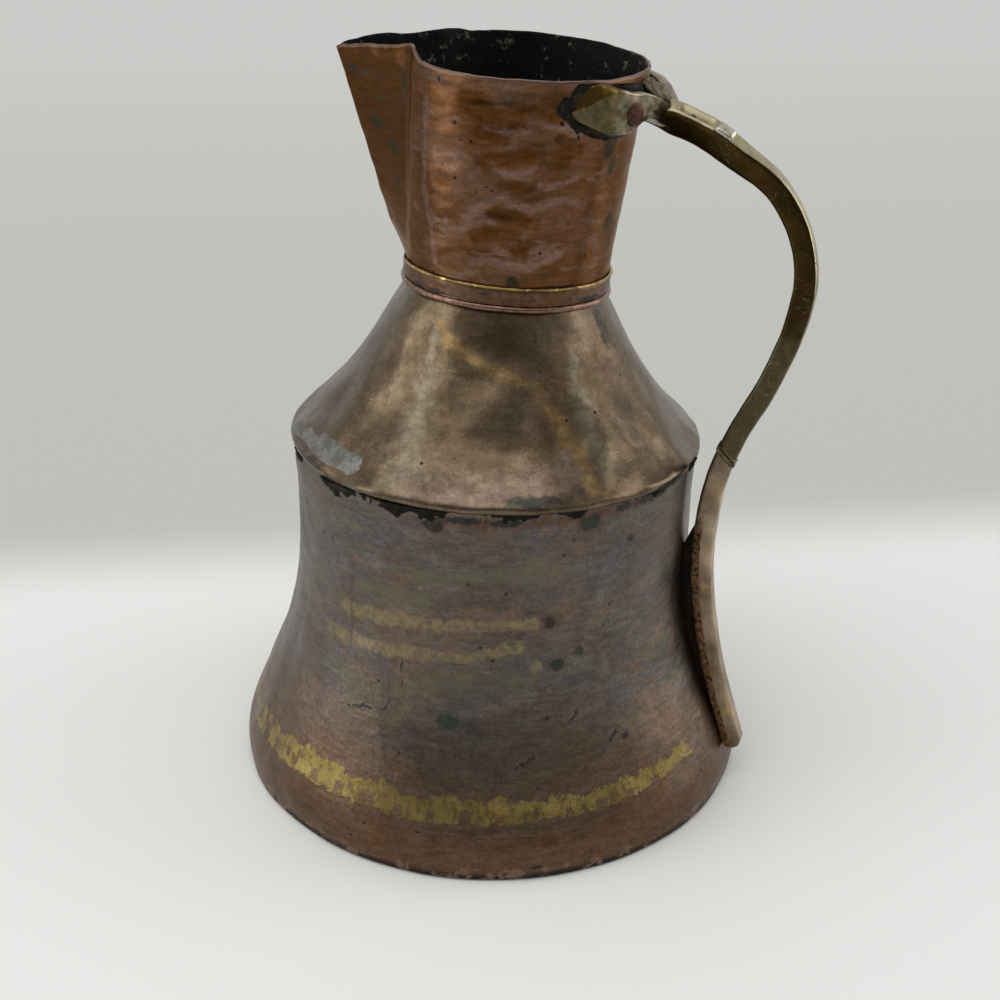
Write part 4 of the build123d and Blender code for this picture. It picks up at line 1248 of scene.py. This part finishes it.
class Finish(Nodes):
    """Lays the nodes of one metal finish, layer over layer."""

    def __init__(self, name, tint, rough, metal=1.0, gloss=0.5, rim=(1.0, 1.0, 1.0)):
        self.material = bpy.data.materials.new(name)
        self.material.use_nodes = True
        super().__init__(self.material.node_tree)
        self.shader = self.tree.nodes["Principled BSDF"]
        self.put(self.shader.inputs["Specular IOR Level"], gloss)
        self.put(self.shader.inputs["Specular Tint"], (*rim, 1.0))
        self.place = self.add("TexCoord").outputs["Object"]
        self.tint, self.rough, self.metal = (*tint, 1.0), rough, metal
        self.normal = None

    def shifted(self, stretch, shift):
        values = {"Vector": self.place, "Scale": stretch, "Location": (shift, shift, 0)}
        return self.add("Mapping", values).outputs[0]

    def noise(self, size, detail=5.0, rough=0.6, stretch=(1, 1, 1), shift=0.0, warp=0.0):
        """Noise from 0 to 1 with features of about the given size."""
        values = {"Vector": self.shifted(stretch, shift), "Scale": 1 / size, "Detail": detail,
                  "Roughness": rough, "Distortion": warp}
        return self.add("TexNoise", values).outputs["Fac"]

    def patches(self, low, high, *noise, **more):
        """Mask of random patches: 0 where the noise is under low, 1 where it is over high."""
        return self.span(self.noise(*noise, **more), low, high)

    def dots(self, size, wide, narrow, where, shift=2):
        """Mask of small round dots inside the areas of another mask."""
        values = {"Vector": self.shifted((1, 1, 1), shift), "Scale": 1 / size}
        distance = self.add("TexVoronoi", values, feature="F1").outputs["Distance"]
        return self.times(self.span(distance, wide, narrow), where)

    def worn_edges(self, low, high):
        """Mask of the edges that stand out."""
        return self.span(self.add("NewGeometry").outputs["Pointiness"], low, high)

    def field(self, name):
        return self.add("Attribute", attribute_name=name, attribute_type="GEOMETRY").outputs["Fac"]

    def stain(self, name, size=0.004, ragged=0.5, soft=0.12, broken=0.0):
        """Mask of a stain, painted shade or highlight whose field is stored on the mesh, with a ragged edge
        and worn patches.
        """
        edge = self.times(self.minus(self.noise(size, 5, 0.65), 0.5), ragged * 2)
        mask = self.span(self.plus(self.field(name), edge), 0.0, soft)
        if not broken:
            return mask
        worn = self.span(self.noise(size * 0.7, 5, 0.7, shift=11), 0.36, 0.60, 1 - broken, 1.0)
        return self.times(mask, worn)

    def layer(self, mask, tint, rough, metal=None):
        """Lays a colour and a roughness over what is there."""
        self.tint = self.mixed(mask, self.tint, (*tint, 1.0))
        self.rough = self.mixed_value(mask, self.rough, rough)
        if metal is not None:
            self.metal = self.mixed_value(mask, self.metal, metal)

    def shade(self, mask, dark, light):
        """Multiplies the colour by a value between dark and light."""
        value = self.span(mask, 0.25, 0.75, dark, light)
        grey = self.add("CombineColor", {0: value, 1: value, 2: value}).outputs[0]
        self.tint = self.mixed(1.0, self.tint, grey, "MULTIPLY")

    def bump(self, height, strength, distance):
        values = {"Height": height, "Strength": strength, "Distance": distance}
        if self.normal is not None:
            values["Normal"] = self.normal
        self.normal = self.add("Bump", values).outputs[0]

    def scratches(self, strength=0.25, tint=(0.42, 0.35, 0.26)):
        """Fine random scratches in two directions."""
        for stretch, shift in (((1, 1, 14), 3.0), ((9, 9, 1), 8.0)):
            line = self.noise(0.012, 2, 0.5, stretch, shift)
            thin = self.span(self.math("ABSOLUTE", self.minus(line, 0.5)), 0.0, 0.012, 1.0, 0.0)
            where = self.patches(0.52, 0.68, 0.018, 3, 0.5, shift=shift)
            self.layer(self.times(self.times(thin, where), strength), tint, 0.3)

    def done(self):
        """Links what the layers gave to the shader."""
        for key, value in (("Base Color", self.tint), ("Roughness", self.rough), ("Metallic", self.metal)):
            self.put(self.shader.inputs[key], value)
        if self.normal is not None:
            self.put(self.shader.inputs["Normal"], self.normal)
        return self.material


def finish(name, tint, rough, *look, **more):
    """Makes a function that lays layers into one that gives the material, laid only once.

    The tint is a colour or the name of one in the settings."""
    def wrap(lay):
        def made():
            found = bpy.data.materials.get(name)
            if found:
                return found
            first = getattr(settings("finish"), tint) if isinstance(tint, str) else tint
            f = Finish(name, first, rough, *look, **more)
            lay(f)
            return f.done()
        return made
    return wrap


def lay_patina(f):
    """Brown patina of skirt and base, redder towards the foot, with purple, blue and green tints."""
    low = f.split(f.place, 2)
    f.layer(f.patches(0.4, 0.62, 0.05), (0.15, 0.11, 0.086), 0.4)
    f.layer(f.patches(0.47, 0.62, 0.034, 5, 0.6, (1, 1, 1.5), 4), (0.104, 0.092, 0.092), 0.36)
    f.layer(f.patches(0.5, 0.64, 0.03, 5, 0.65, (1, 1, 4), 7), (0.122, 0.112, 0.084), 0.42)
    f.layer(f.patches(0.54, 0.66, 0.024, 5, 0.65, (1, 1, 2), 9), (0.15, 0.102, 0.078), 0.4)
    f.layer(f.patches(0.54, 0.68, 0.02, 5, 0.65, (1, 1, 1.6), 17), (0.14, 0.118, 0.098), 0.38)
    wavy = f.plus(low, f.times(f.minus(f.noise(0.03, 4, 0.6, shift=3), 0.5), 0.03))
    f.layer(f.span(wavy, 0.066, 0.034), (0.124, 0.085, 0.06), 0.4)
    f.layer(f.span(wavy, 0.026, 0.016, 0.0, 0.85), tuple(settings("finish").base), 0.38)
    rusty = f.times(f.patches(0.52, 0.68, 0.016, 5, 0.65, shift=6), f.span(low, 0.045, 0.03))
    f.layer(rusty, (0.13, 0.066, 0.034), 0.42)
    f.shade(f.noise(0.011, 6, 0.6, (1, 1, 5), 2), 0.9, 1.12)
    f.shade(f.noise(0.0022, 4, 0.6, (0.3, 0.3, 3), 21), 0.88, 1.12)
    f.shade(f.noise(0.005, 5, 0.6, (1, 1, 2), 5), 0.86, 1.14)
    f.shade(f.noise(0.0016, 4, 0.6, (1, 1, 1), 9), 0.84, 1.16)
    f.scratches(0.3)
    pits = f.dots(0.0075, 0.14, 0.07, f.patches(0.5, 0.58, 0.02, 3, 0.5, shift=1), 5)
    f.layer(pits, (0.022, 0.018, 0.015), 0.55, 0.6)
    f.bump(f.noise(0.0016), 0.28, 0.0004)
    f.bump(f.noise(0.01, 3, 0.5, (1, 1, 1.6)), 0.35, 0.0012)


@finish("skirt_patina", "skirt", 0.42)
def finish_skirt(f):
    lay_patina(f)
    f.layer(f.stain("olive", 0.006, 1.0, 1.1, 0.7), (0.128, 0.122, 0.084), 0.4)
    f.layer(f.stain("brass", 0.004, 1.1, 0.6, 0.8), (0.225, 0.176, 0.098), 0.36)
    f.layer(f.stain("rust", 0.003, 0.9, 0.9, 0.7), (0.105, 0.056, 0.034), 0.45)
    f.layer(f.stain("crack", 0.0025, 0.9, 0.2, 0.9), (0.016, 0.013, 0.011), 0.6, 0.5)
    f.layer(f.stain("dark", 0.003, 0.7, 0.4, 0.3), (0.016, 0.013, 0.011), 0.5, 0.5)
    f.layer(f.stain("green", 0.003, 0.6, 0.5, 0.3), (0.013, 0.024, 0.009), 0.5, 0.3)


@finish("base_patina", "skirt", 0.42)
def finish_base(f):
    lay_patina(f)
    low = f.split(f.place, 2)
    # Painted shadow: the foot is darkened in its lowest few millimetres, next to the floor.
    f.layer(f.span(low, 0.0045, 0.0016), (0.03, 0.022, 0.018), 0.55)
    worn = f.times(f.span(low, 0.0075, 0.005), f.patches(0.52, 0.6, 0.006, 5, 0.65, shift=2))
    f.layer(worn, (0.19, 0.12, 0.085), 0.36)
    f.layer(f.stain("dark", 0.003, 0.45, 0.25), (0.016, 0.013, 0.011), 0.5, 0.5)


@finish("ragged_brass", "skirt", 0.42)
def finish_seam(f):
    lay_patina(f)
    edge = f.minus(f.noise(0.003, 6, 0.7, (1, 1, 0.6), 12), 0.5)
    fine = f.minus(f.noise(0.0013, 5, 0.7, (1, 1, 0.7), 18), 0.5)
    mask = f.plus(f.field("reach"), f.plus(f.times(edge, 4.6), f.times(fine, 3.6)))
    mask = f.span(mask, 0.0, 0.3)
    worn = f.span(f.noise(0.006, 6, 0.7, (1, 1, 0.6), 15), 0.38, 0.46, 0.35, 1.0)
    lines = f.math("ABSOLUTE", f.minus(f.noise(0.004, 5, 0.6, (1, 1, 0.6), 25), 0.5))
    worn = f.times(worn, f.span(lines, 0.006, 0.026, 0.25, 1.0))
    covered = f.times(mask, worn)
    gold = (*settings("finish").seam, 1)
    gold = f.mixed(f.patches(0.4, 0.62, 0.012, shift=13), gold, (0.305, 0.228, 0.076, 1))
    gold = f.mixed(f.patches(0.52, 0.66, 0.004, 5, 0.65, (1, 1, 0.5), 14), gold, (0.15, 0.106, 0.044, 1))
    open_tab = f.times(f.span(f.plus(f.field("window"), f.times(edge, 2.5)), 0.0, 0.6), 0.75)
    covered = f.times(covered, f.minus(1.0, open_tab))
    f.tint = f.mixed(covered, f.tint, gold)
    f.rough = f.mixed_value(covered, f.rough, 0.4)
    line = f.times(f.span(f.math("ABSOLUTE", f.minus(mask, 0.5)), 0.5, 0.15), 0.8)
    f.layer(line, (0.05, 0.032, 0.018), 0.5)
    f.bump(mask, 0.8, 0.00016)


@finish("shoulder_patina", "cone", 0.27)
def finish_shoulder(f):
    f.layer(f.patches(0.42, 0.62, 0.045), (0.088, 0.06, 0.034), 0.29)
    f.layer(f.patches(0.5, 0.64, 0.028, 5, 0.6, (1, 1, 0.6), 5), (0.15, 0.112, 0.074), 0.25)
    f.layer(f.patches(0.54, 0.68, 0.018, 5, 0.65, (1, 1, 0.7), 8), (0.1, 0.062, 0.042), 0.28)
    # Painted shade: broad darker patches high on the shoulder.
    f.layer(f.stain("deep", 0.012, 0.7, 1.1), (0.064, 0.044, 0.026), 0.29)
    # Painted highlights: upright lighter streaks on the shoulder.
    f.layer(f.stain("highlight_streaks", 0.008, 1.0, 1.2, 0.55), (0.18, 0.154, 0.108), 0.28)
    f.layer(f.stain("rust", 0.006, 1.0, 1.0, 0.6), (0.215, 0.138, 0.058), 0.32)
    # Painted highlight: the pinkish light band over the lip.
    f.layer(f.stain("rub_and_sheen", 0.009, 1.0, 0.9, 0.7), (0.19, 0.138, 0.104), 0.26)
    f.shade(f.noise(0.008, 6, 0.6, (1, 1, 3), 2), 0.82, 1.18)
    f.shade(f.noise(0.003, shift=5), 0.88, 1.12)
    f.shade(f.noise(0.0014, 4, 0.6, shift=7), 0.86, 1.14)
    f.scratches(0.5, (0.38, 0.31, 0.22))
    f.layer(f.dots(0.008, 0.12, 0.06, f.patches(0.52, 0.6, 0.02, 3, 0.55)), (0.03, 0.021, 0.015), 0.5)
    f.layer(f.stain("dark", 0.003, 0.9, 0.4, 0.5), (0.02, 0.014, 0.012), 0.5, 0.5)
    f.layer(f.stain("green", 0.003, 0.9, 0.6, 0.6), (0.045, 0.052, 0.034), 0.5, 0.4)
    f.bump(f.noise(0.0015), 0.2, 0.0004)
    f.bump(f.noise(0.026, 0.6, 0.3, (1, 1, 1.2)), 0.9, 0.006)
    f.bump(f.noise(0.009, 1, 0.4, shift=3), 0.4, 0.0006)


@finish("collar_patina", (0.118, 0.06, 0.032), 0.36)
def finish_collar(f):
    f.layer(f.patches(0.42, 0.62, 0.012), (0.125, 0.078, 0.05), 0.34)
    # Painted highlight: the lighter pinkish bead.
    f.layer(f.stain("rub_and_sheen", 0.004, 0.8, 0.5, 0.6), (0.25, 0.15, 0.11), 0.28)
    f.shade(f.noise(0.003), 0.74, 1.2)
    f.layer(f.stain("dark", 0.002, 0.9, 0.2, 0.4), (0.014, 0.01, 0.008), 0.6, 0.3)
    f.bump(f.noise(0.002), 0.35, 0.0006)


@finish("stained_copper", "neck", 0.27, rim=(0.9, 0.72, 0.62))
def finish_neck(f):
    f.layer(f.patches(0.42, 0.62, 0.04, 5, 0.6, (1, 1, 1.6), warp=0.6), (0.14, 0.076, 0.046), 0.3)
    f.layer(f.patches(0.48, 0.62, 0.024, 5, 0.6, (1, 1, 2.0), 5, 0.8), (0.105, 0.046, 0.018), 0.27)
    f.layer(f.patches(0.54, 0.66, 0.018, 5, 0.6, (1, 1, 2.6), 8, 0.8), (0.16, 0.094, 0.068), 0.25)
    # Painted reflection: pinkish wavy bands of the dented copper.
    f.layer(f.stain("sheen", 0.006, 0.9, 0.9, 0.5), (0.18, 0.108, 0.084), 0.24)
    f.layer(f.stain("stain", 0.008, 0.9, 0.6, 0.4), (0.082, 0.032, 0.008), 0.26)
    f.layer(f.stain("spout", 0.004, 0.1, 0.8), (0.088, 0.038, 0.014), 0.28)
    f.shade(f.noise(0.006, 6, 0.6, (1, 1, 4), 2), 0.8, 1.2)
    f.shade(f.noise(0.0022, 5, 0.6, (1, 1, 1.5), 6), 0.88, 1.12)
    f.scratches(0.12, (0.28, 0.18, 0.12))
    f.layer(f.dots(0.007, 0.12, 0.06, f.patches(0.52, 0.6, 0.018, 3, 0.55)), (0.02, 0.012, 0.008), 0.5)
    f.layer(f.stain("grey", 0.004, 1.0, 1.1, 0.7), (0.058, 0.042, 0.03), 0.36, 0.9)
    f.layer(f.stain("green", 0.003, 0.8, 0.6, 0.25), (0.016, 0.021, 0.011), 0.42, 0.75)
    f.layer(f.stain("dark", 0.002, 0.5, 0.25), (0.008, 0.006, 0.005), 0.6, 0.3)
    f.layer(f.stain("edge", 0.003, 0.6, 0.5), (0.15, 0.092, 0.066), 0.36)
    f.bump(f.noise(0.0015), 0.15, 0.0004)
    f.bump(f.noise(0.012, 1.2, 0.4, (0.7, 0.7, 2.0), warp=0.4), 0.45, 0.0018)


@finish("rim_edge", (0.15, 0.092, 0.066), 0.38)
def finish_rim(f):
    f.shade(f.noise(0.004), 0.6, 1.3)
    f.layer(f.patches(0.55, 0.65, 0.006, 4, 0.55, shift=3), (0.06, 0.045, 0.035), 0.5)
    f.bump(f.noise(0.001), 0.4, 0.0004)


# Dark tin, made near-black as painted shade inside the vessel.
@finish("tin_lining_and_shade", "lining", 0.6, 0.3, 0.15)
def finish_lining(f):
    f.layer(f.patches(0.58, 0.68, 0.014, 6, 0.7), (0.022, 0.015, 0.01), 0.5)
    f.layer(f.patches(0.57, 0.66, 0.005, 6, 0.7, shift=5), (0.12, 0.11, 0.088), 0.5)
    f.shade(f.noise(0.003), 0.7, 1.3)
    f.bump(f.noise(0.0025, 6, 0.7), 0.6, 0.0008)


@finish("bar_brass", "bar", 0.36)
def finish_bar(f):
    f.layer(f.patches(0.42, 0.62, 0.02), (0.052, 0.032, 0.009), 0.34)
    f.layer(f.patches(0.58, 0.7, 0.01, shift=4), (0.026, 0.017, 0.007), 0.4)
    f.layer(f.stain("rub_and_sheen", 0.008, 0.5, 0.4), tuple(settings("finish").rubbed), 0.32)
    f.layer(f.stain("low", 0.01, 0.8, 1.2), (0.088, 0.07, 0.038), 0.36)
    f.layer(f.stain("shade", 0.006, 0.5, 0.6), (0.012, 0.009, 0.004), 0.45)
    f.layer(f.worn_edges(0.52, 0.58), (0.42, 0.33, 0.15), 0.26)
    f.shade(f.noise(0.004, 6, 0.6), 0.84, 1.16)
    f.scratches(0.3, (0.5, 0.42, 0.24))
    f.layer(f.dots(0.004, 0.15, 0.07, f.patches(0.53, 0.62, 0.016, 3, 0.55)), (0.02, 0.015, 0.01), 0.6)
    f.layer(f.stain("dark", 0.002, 0.4, 0.3), (0.012, 0.01, 0.008), 0.6, 0.4)
    f.bump(f.noise(0.0016), 0.25, 0.0004)
    f.bump(f.noise(0.008, 3, 0.5), 0.25, 0.001)


@finish("wing_brass", (0.078, 0.057, 0.024), 0.28)
def finish_wing(f):
    f.layer(f.patches(0.42, 0.62, 0.012), (0.105, 0.082, 0.044), 0.28)
    f.layer(f.patches(0.56, 0.68, 0.007, shift=4), (0.08, 0.06, 0.028), 0.4)
    # Painted highlights along the leaf's edges, and the rubbed arm.
    f.layer(f.stain("rub_and_sheen", 0.006, 0.7, 0.6), (0.3, 0.26, 0.185), 0.3)
    f.layer(f.stain("gold", 0.004, 0.5, 0.6), (0.112, 0.072, 0.016), 0.24)
    f.layer(f.worn_edges(0.515, 0.56), (0.42, 0.36, 0.24), 0.26)
    f.layer(f.stain("green", 0.003, 0.9, 0.8, 0.5), (0.046, 0.056, 0.032), 0.42, 0.8)
    f.layer(f.stain("dark", 0.003, 0.6, 0.6), (0.045, 0.033, 0.012), 0.4)
    f.shade(f.noise(0.003, 6, 0.6), 0.82, 1.18)
    f.scratches(0.3, (0.5, 0.42, 0.24))
    f.bump(f.noise(0.0016), 0.3, 0.0004)


@finish("pale_plate", (0.52, 0.49, 0.39), 0.32)
def finish_plate(f):
    f.layer(f.patches(0.5, 0.65, 0.004), (0.2, 0.18, 0.13), 0.42)
    f.shade(f.noise(0.0012), 0.8, 1.2)
    f.bump(f.noise(0.0014), 0.3, 0.0004)


@finish("crusty_tin", (0.125, 0.102, 0.066), 0.6, 0.5, 0.3)
def finish_crust(f):
    f.layer(f.patches(0.48, 0.6, 0.005, 6, 0.7), (0.235, 0.205, 0.15), 0.55)
    f.layer(f.patches(0.56, 0.66, 0.003, 5, 0.65, shift=4), (0.04, 0.034, 0.026), 0.6, 0.4)
    f.shade(f.noise(0.0012), 0.7, 1.3)
    f.bump(f.noise(0.0016, 6, 0.7), 0.8, 0.001)


@finish("forged_copper", "strap", 0.42)
def finish_strap(f):
    f.layer(f.patches(0.42, 0.62, 0.016), (0.245, 0.18, 0.12), 0.45)
    f.layer(f.patches(0.55, 0.68, 0.009, shift=4), (0.33, 0.23, 0.145), 0.38)
    f.layer(f.stain("rub_and_sheen", 0.01, 0.6, 0.5), (0.4, 0.29, 0.19), 0.32)
    gilt = f.times(f.stain("gilt", 0.006, 0.7, 0.8, 0.3), f.patches(0.56, 0.66, 0.012, 5, 0.65, shift=12))
    f.layer(f.stain("upper", 0.008, 0.6, 1.2), (0.15, 0.116, 0.08), 0.42)
    f.layer(gilt, (0.42, 0.28, 0.11), 0.3)
    # Painted shade on the strap's face towards the body.
    f.layer(f.stain("dark", 0.004, 0.6, 0.4), (0.045, 0.032, 0.022), 0.5, 0.7)
    f.shade(f.noise(0.018, 4, 0.6, shift=14), 0.55, 1.45)
    f.shade(f.noise(0.004, 6, 0.6), 0.8, 1.18)
    f.scratches(0.35, (0.5, 0.4, 0.28))
    web = f.stain("web", 0.003, 0.5, 0.35)
    crumbs = f.patches(0.36, 0.58, 0.002, 5, 0.7, shift=15)
    crumbs = f.mixed(crumbs, (0.055, 0.032, 0.018, 1), (0.31, 0.175, 0.082, 1))
    f.tint = f.mixed(web, f.tint, crumbs)
    f.rough = f.mixed_value(web, f.rough, 0.6)
    f.bump(f.times(web, f.noise(0.0018, 6, 0.7, shift=16)), 1.0, 0.0016)
    f.bump(f.noise(0.0018), 0.35, 0.0005)
    f.bump(f.noise(0.007, 3, 0.5), 0.35, 0.001)


@finish("peened_copper", (0.062, 0.028, 0.022), 0.45)
def finish_rivet(f):
    f.layer(f.patches(0.45, 0.62, 0.004), (0.1, 0.048, 0.038), 0.4)
    f.shade(f.noise(0.0015), 0.75, 1.2)
    f.bump(f.noise(0.0015), 0.4, 0.0005)


@finish("bright_braze", (0.3, 0.22, 0.08), 0.3)
def finish_bright_brass(f):
    f.layer(f.patches(0.5, 0.6, 0.01), (0.16, 0.105, 0.045), 0.38)
    f.layer(f.patches(0.58, 0.66, 0.004, shift=3), (0.6, 0.46, 0.19), 0.24)
    f.shade(f.noise(0.0015), 0.8, 1.2)
    f.bump(f.noise(0.0012, 4, 0.6), 0.3, 0.0003)


@finish("wiped_tin", "tin", 0.48, 0.9)
def finish_tin(f):
    f.layer(f.patches(0.45, 0.6, 0.006, 5, 0.65), (0.125, 0.118, 0.104), 0.52)
    f.layer(f.patches(0.58, 0.68, 0.003, 5, 0.65, shift=4), (0.06, 0.055, 0.048), 0.6, 0.5)
    f.shade(f.noise(0.0014), 0.8, 1.2)
    f.bump(f.noise(0.0018, 6, 0.7), 0.5, 0.0007)


@finish("black_solder", (0.009, 0.008, 0.006), 0.65, 0.15, 0.1)
def finish_dark_solder(f):
    f.layer(f.patches(0.5, 0.64, 0.006, 5, 0.65), (0.026, 0.023, 0.017), 0.6)
    f.layer(f.patches(0.6, 0.68, 0.004, 5, 0.65, shift=4), (0.024, 0.03, 0.02), 0.6)
    f.bump(f.noise(0.0016, 6, 0.7), 0.6, 0.0008)


# Solder that fills the gap, made near-black as painted shadow in the gap between the strap and the body.
@finish("solder_and_gap_shadow", (0.01, 0.007, 0.005), 0.7, 0.2, 0.15)
def finish_solder_and_gap_shadow(f):
    f.layer(f.patches(0.56, 0.68, 0.006, 5, 0.65), (0.036, 0.021, 0.012), 0.65)
    f.layer(f.patches(0.58, 0.66, 0.003, 5, 0.65, shift=4), (0.018, 0.014, 0.011), 0.6)
    f.bump(f.noise(0.0018, 6, 0.7), 0.6, 0.001)


class PITCHER_OT_stage(Operator):
    """Set the floor, the light and the camera"""
    bl_idname = "pitcher.stage"
    bl_label = "Studio"

    def execute(self, context):
        self.lay_floor()
        self.hang_lamps()
        self.light_world(context.scene)
        self.place_camera(context.scene)
        context.scene.view_settings.view_transform = "Standard"
        return {"FINISHED"}

    def lay_floor(self):
        s = settings("stage")
        reach = 6.0
        mesh = bpy.data.meshes.new("floor")
        corners = [(-reach, -reach, 0), (reach, -reach, 0), (reach, reach, 0), (-reach, reach, 0)]
        mesh.from_pydata(corners, [], [(0, 1, 2, 3)])
        floor = bpy.data.objects.new("floor", mesh)
        bpy.context.scene.collection.objects.link(floor)
        f = Finish("floor_paper", tuple(s.floor), 0.7, 0.0)
        skew = radians(8)
        turned = f.add("Mapping", {"Vector": f.place, "Rotation": (0, 0, -s.turn - skew)}).outputs[0]
        back = f.split(turned, 1)
        far = f.mixed(f.span(back, 0.2, 3.0), (*s.far_floor, 1), (0.60, 0.60, 0.585, 1))
        f.shade(f.noise(0.4, 2, 0.5), 0.985, 1.015)
        glow = f.add("Emission", {"Color": far, "Strength": 1.0}).outputs[0]
        path = f.add("LightPath").outputs
        seen = f.math("MAXIMUM", path["Is Camera Ray"], path["Is Glossy Ray"])
        mask = f.times(f.span(back, 0.13, 0.235), seen)
        mesh.materials.append(f.done())
        mixed = f.add("MixShader", {0: mask, 1: f.shader.outputs[0], 2: glow}).outputs[0]
        f.put(f.tree.nodes["Material Output"].inputs["Surface"], mixed)

    def hang_lamps(self):
        turn = settings("stage").turn
        plans = [("overhead", (-0.35, -0.25, 1.45), (1.5, 1.2), 7.2),
                 ("left", (-1.2, -0.35, 0.52), (0.7, 1.2), 5.0),
                 ("right", (1.15, 0.15, 0.5), (0.7, 1.2), 4.8)]
        for name, place, size, power in plans:
            lamp = bpy.data.lights.new(name, "AREA")
            lamp.shape = "RECTANGLE"
            lamp.size, lamp.size_y = size
            lamp.energy = power
            holder = bpy.data.objects.new(name, lamp)
            where = Matrix.Rotation(turn, 3, "Z") @ Vector(place)
            holder.location = where
            holder.rotation_euler = (Vector((0, 0, 0.12)) - where).to_track_quat("-Z", "Y").to_euler()
            bpy.context.scene.collection.objects.link(holder)

    def light_world(self, scene):
        world = bpy.data.worlds.new("studio")
        world.use_nodes = True
        n = Nodes(world.node_tree)
        place = n.add("TexCoord").outputs["Generated"]
        turned = n.add("Mapping", {"Vector": place, "Rotation": (0, 0, -settings("stage").turn)}).outputs[0]
        level = n.span(n.split(turned, 1), -0.95, 0.15, 0.16, 0.80)
        glow = n.mixed_value(n.span(n.split(place, 2), 0.1, 0.95), level, 0.60)
        sky = n.tree.nodes["Background"]
        n.put(sky.inputs["Color"], (1.0, 1.0, 0.985, 1))
        n.put(sky.inputs["Strength"], glow)
        seen = n.add("Background", {"Color": (*settings("stage").far_floor, 1)}).outputs[0]
        camera_ray = n.add("LightPath").outputs["Is Camera Ray"]
        pick = n.add("MixShader", {0: camera_ray, 1: sky.outputs[0], 2: seen}).outputs[0]
        n.put(n.tree.nodes["World Output"].inputs[0], pick)
        scene.world = world

    def place_camera(self, scene):
        s = settings("stage")
        lens = bpy.data.cameras.new("camera")
        lens.lens = s.lens
        lens.sensor_width = 36.0
        lens.clip_start = 0.01
        camera = bpy.data.objects.new("camera", lens)
        turn = Matrix.Rotation(s.turn, 4, "Z")
        where = turn @ Vector((s.side, -s.distance, s.eye))
        tip = Matrix.Rotation(pi / 2 - s.tip, 4, "X") @ Matrix.Rotation(s.roll, 4, "Z")
        camera.matrix_world = Matrix.Translation(where) @ turn @ tip
        scene.collection.objects.link(camera)
        scene.camera = camera


class PITCHER_PT_panel(Panel):
    """Lists the pieces of the pitcher"""
    bl_label = "Copper Pitcher"
    bl_idname = "PITCHER_PT_panel"
    bl_space_type = "VIEW_3D"
    bl_region_type = "UI"
    bl_category = "Pitcher"

    def draw(self, context):
        for operator in OPERATORS:
            self.layout.operator(operator.bl_idname)
        for group in GROUPS:
            for key in GROUPS[group].__annotations__:
                self.layout.prop(getattr(context.scene, "pitcher_" + group), key)


GROUPS = {
    "skirt": SkirtSettings, "seam": SeamSettings, "shoulder": ShoulderSettings, "neck": NeckSettings,
    "handle": HandleSettings, "finish": FinishSettings, "stage": StageSettings,
}
OPERATORS = [PITCHER_OT_stage, PITCHER_OT_base_pan, PITCHER_OT_skirt, PITCHER_OT_seam, PITCHER_OT_shoulder,
             PITCHER_OT_lip_solder, PITCHER_OT_collar, PITCHER_OT_neck, PITCHER_OT_handle, PITCHER_OT_fork,
             PITCHER_OT_joint_trim]


def register():
    for name, group in GROUPS.items():
        for key, setting in group.__annotations__.items():
            setting.keywords["name"] = key.replace("_", " ").capitalize()
        bpy.utils.register_class(group)
        setattr(bpy.types.Scene, "pitcher_" + name, PointerProperty(type=group))
    for item in OPERATORS + [PITCHER_PT_panel]:
        bpy.utils.register_class(item)


def unregister():
    for item in [PITCHER_PT_panel] + OPERATORS[::-1]:
        bpy.utils.unregister_class(item)
    for name, group in GROUPS.items():
        delattr(bpy.types.Scene, "pitcher_" + name)
        bpy.utils.unregister_class(group)


def main():
    register()
    for operator in OPERATORS:
        family, name = operator.bl_idname.split(".")
        getattr(getattr(bpy.ops, family), name)()


if __name__ == "__main__":
    main()
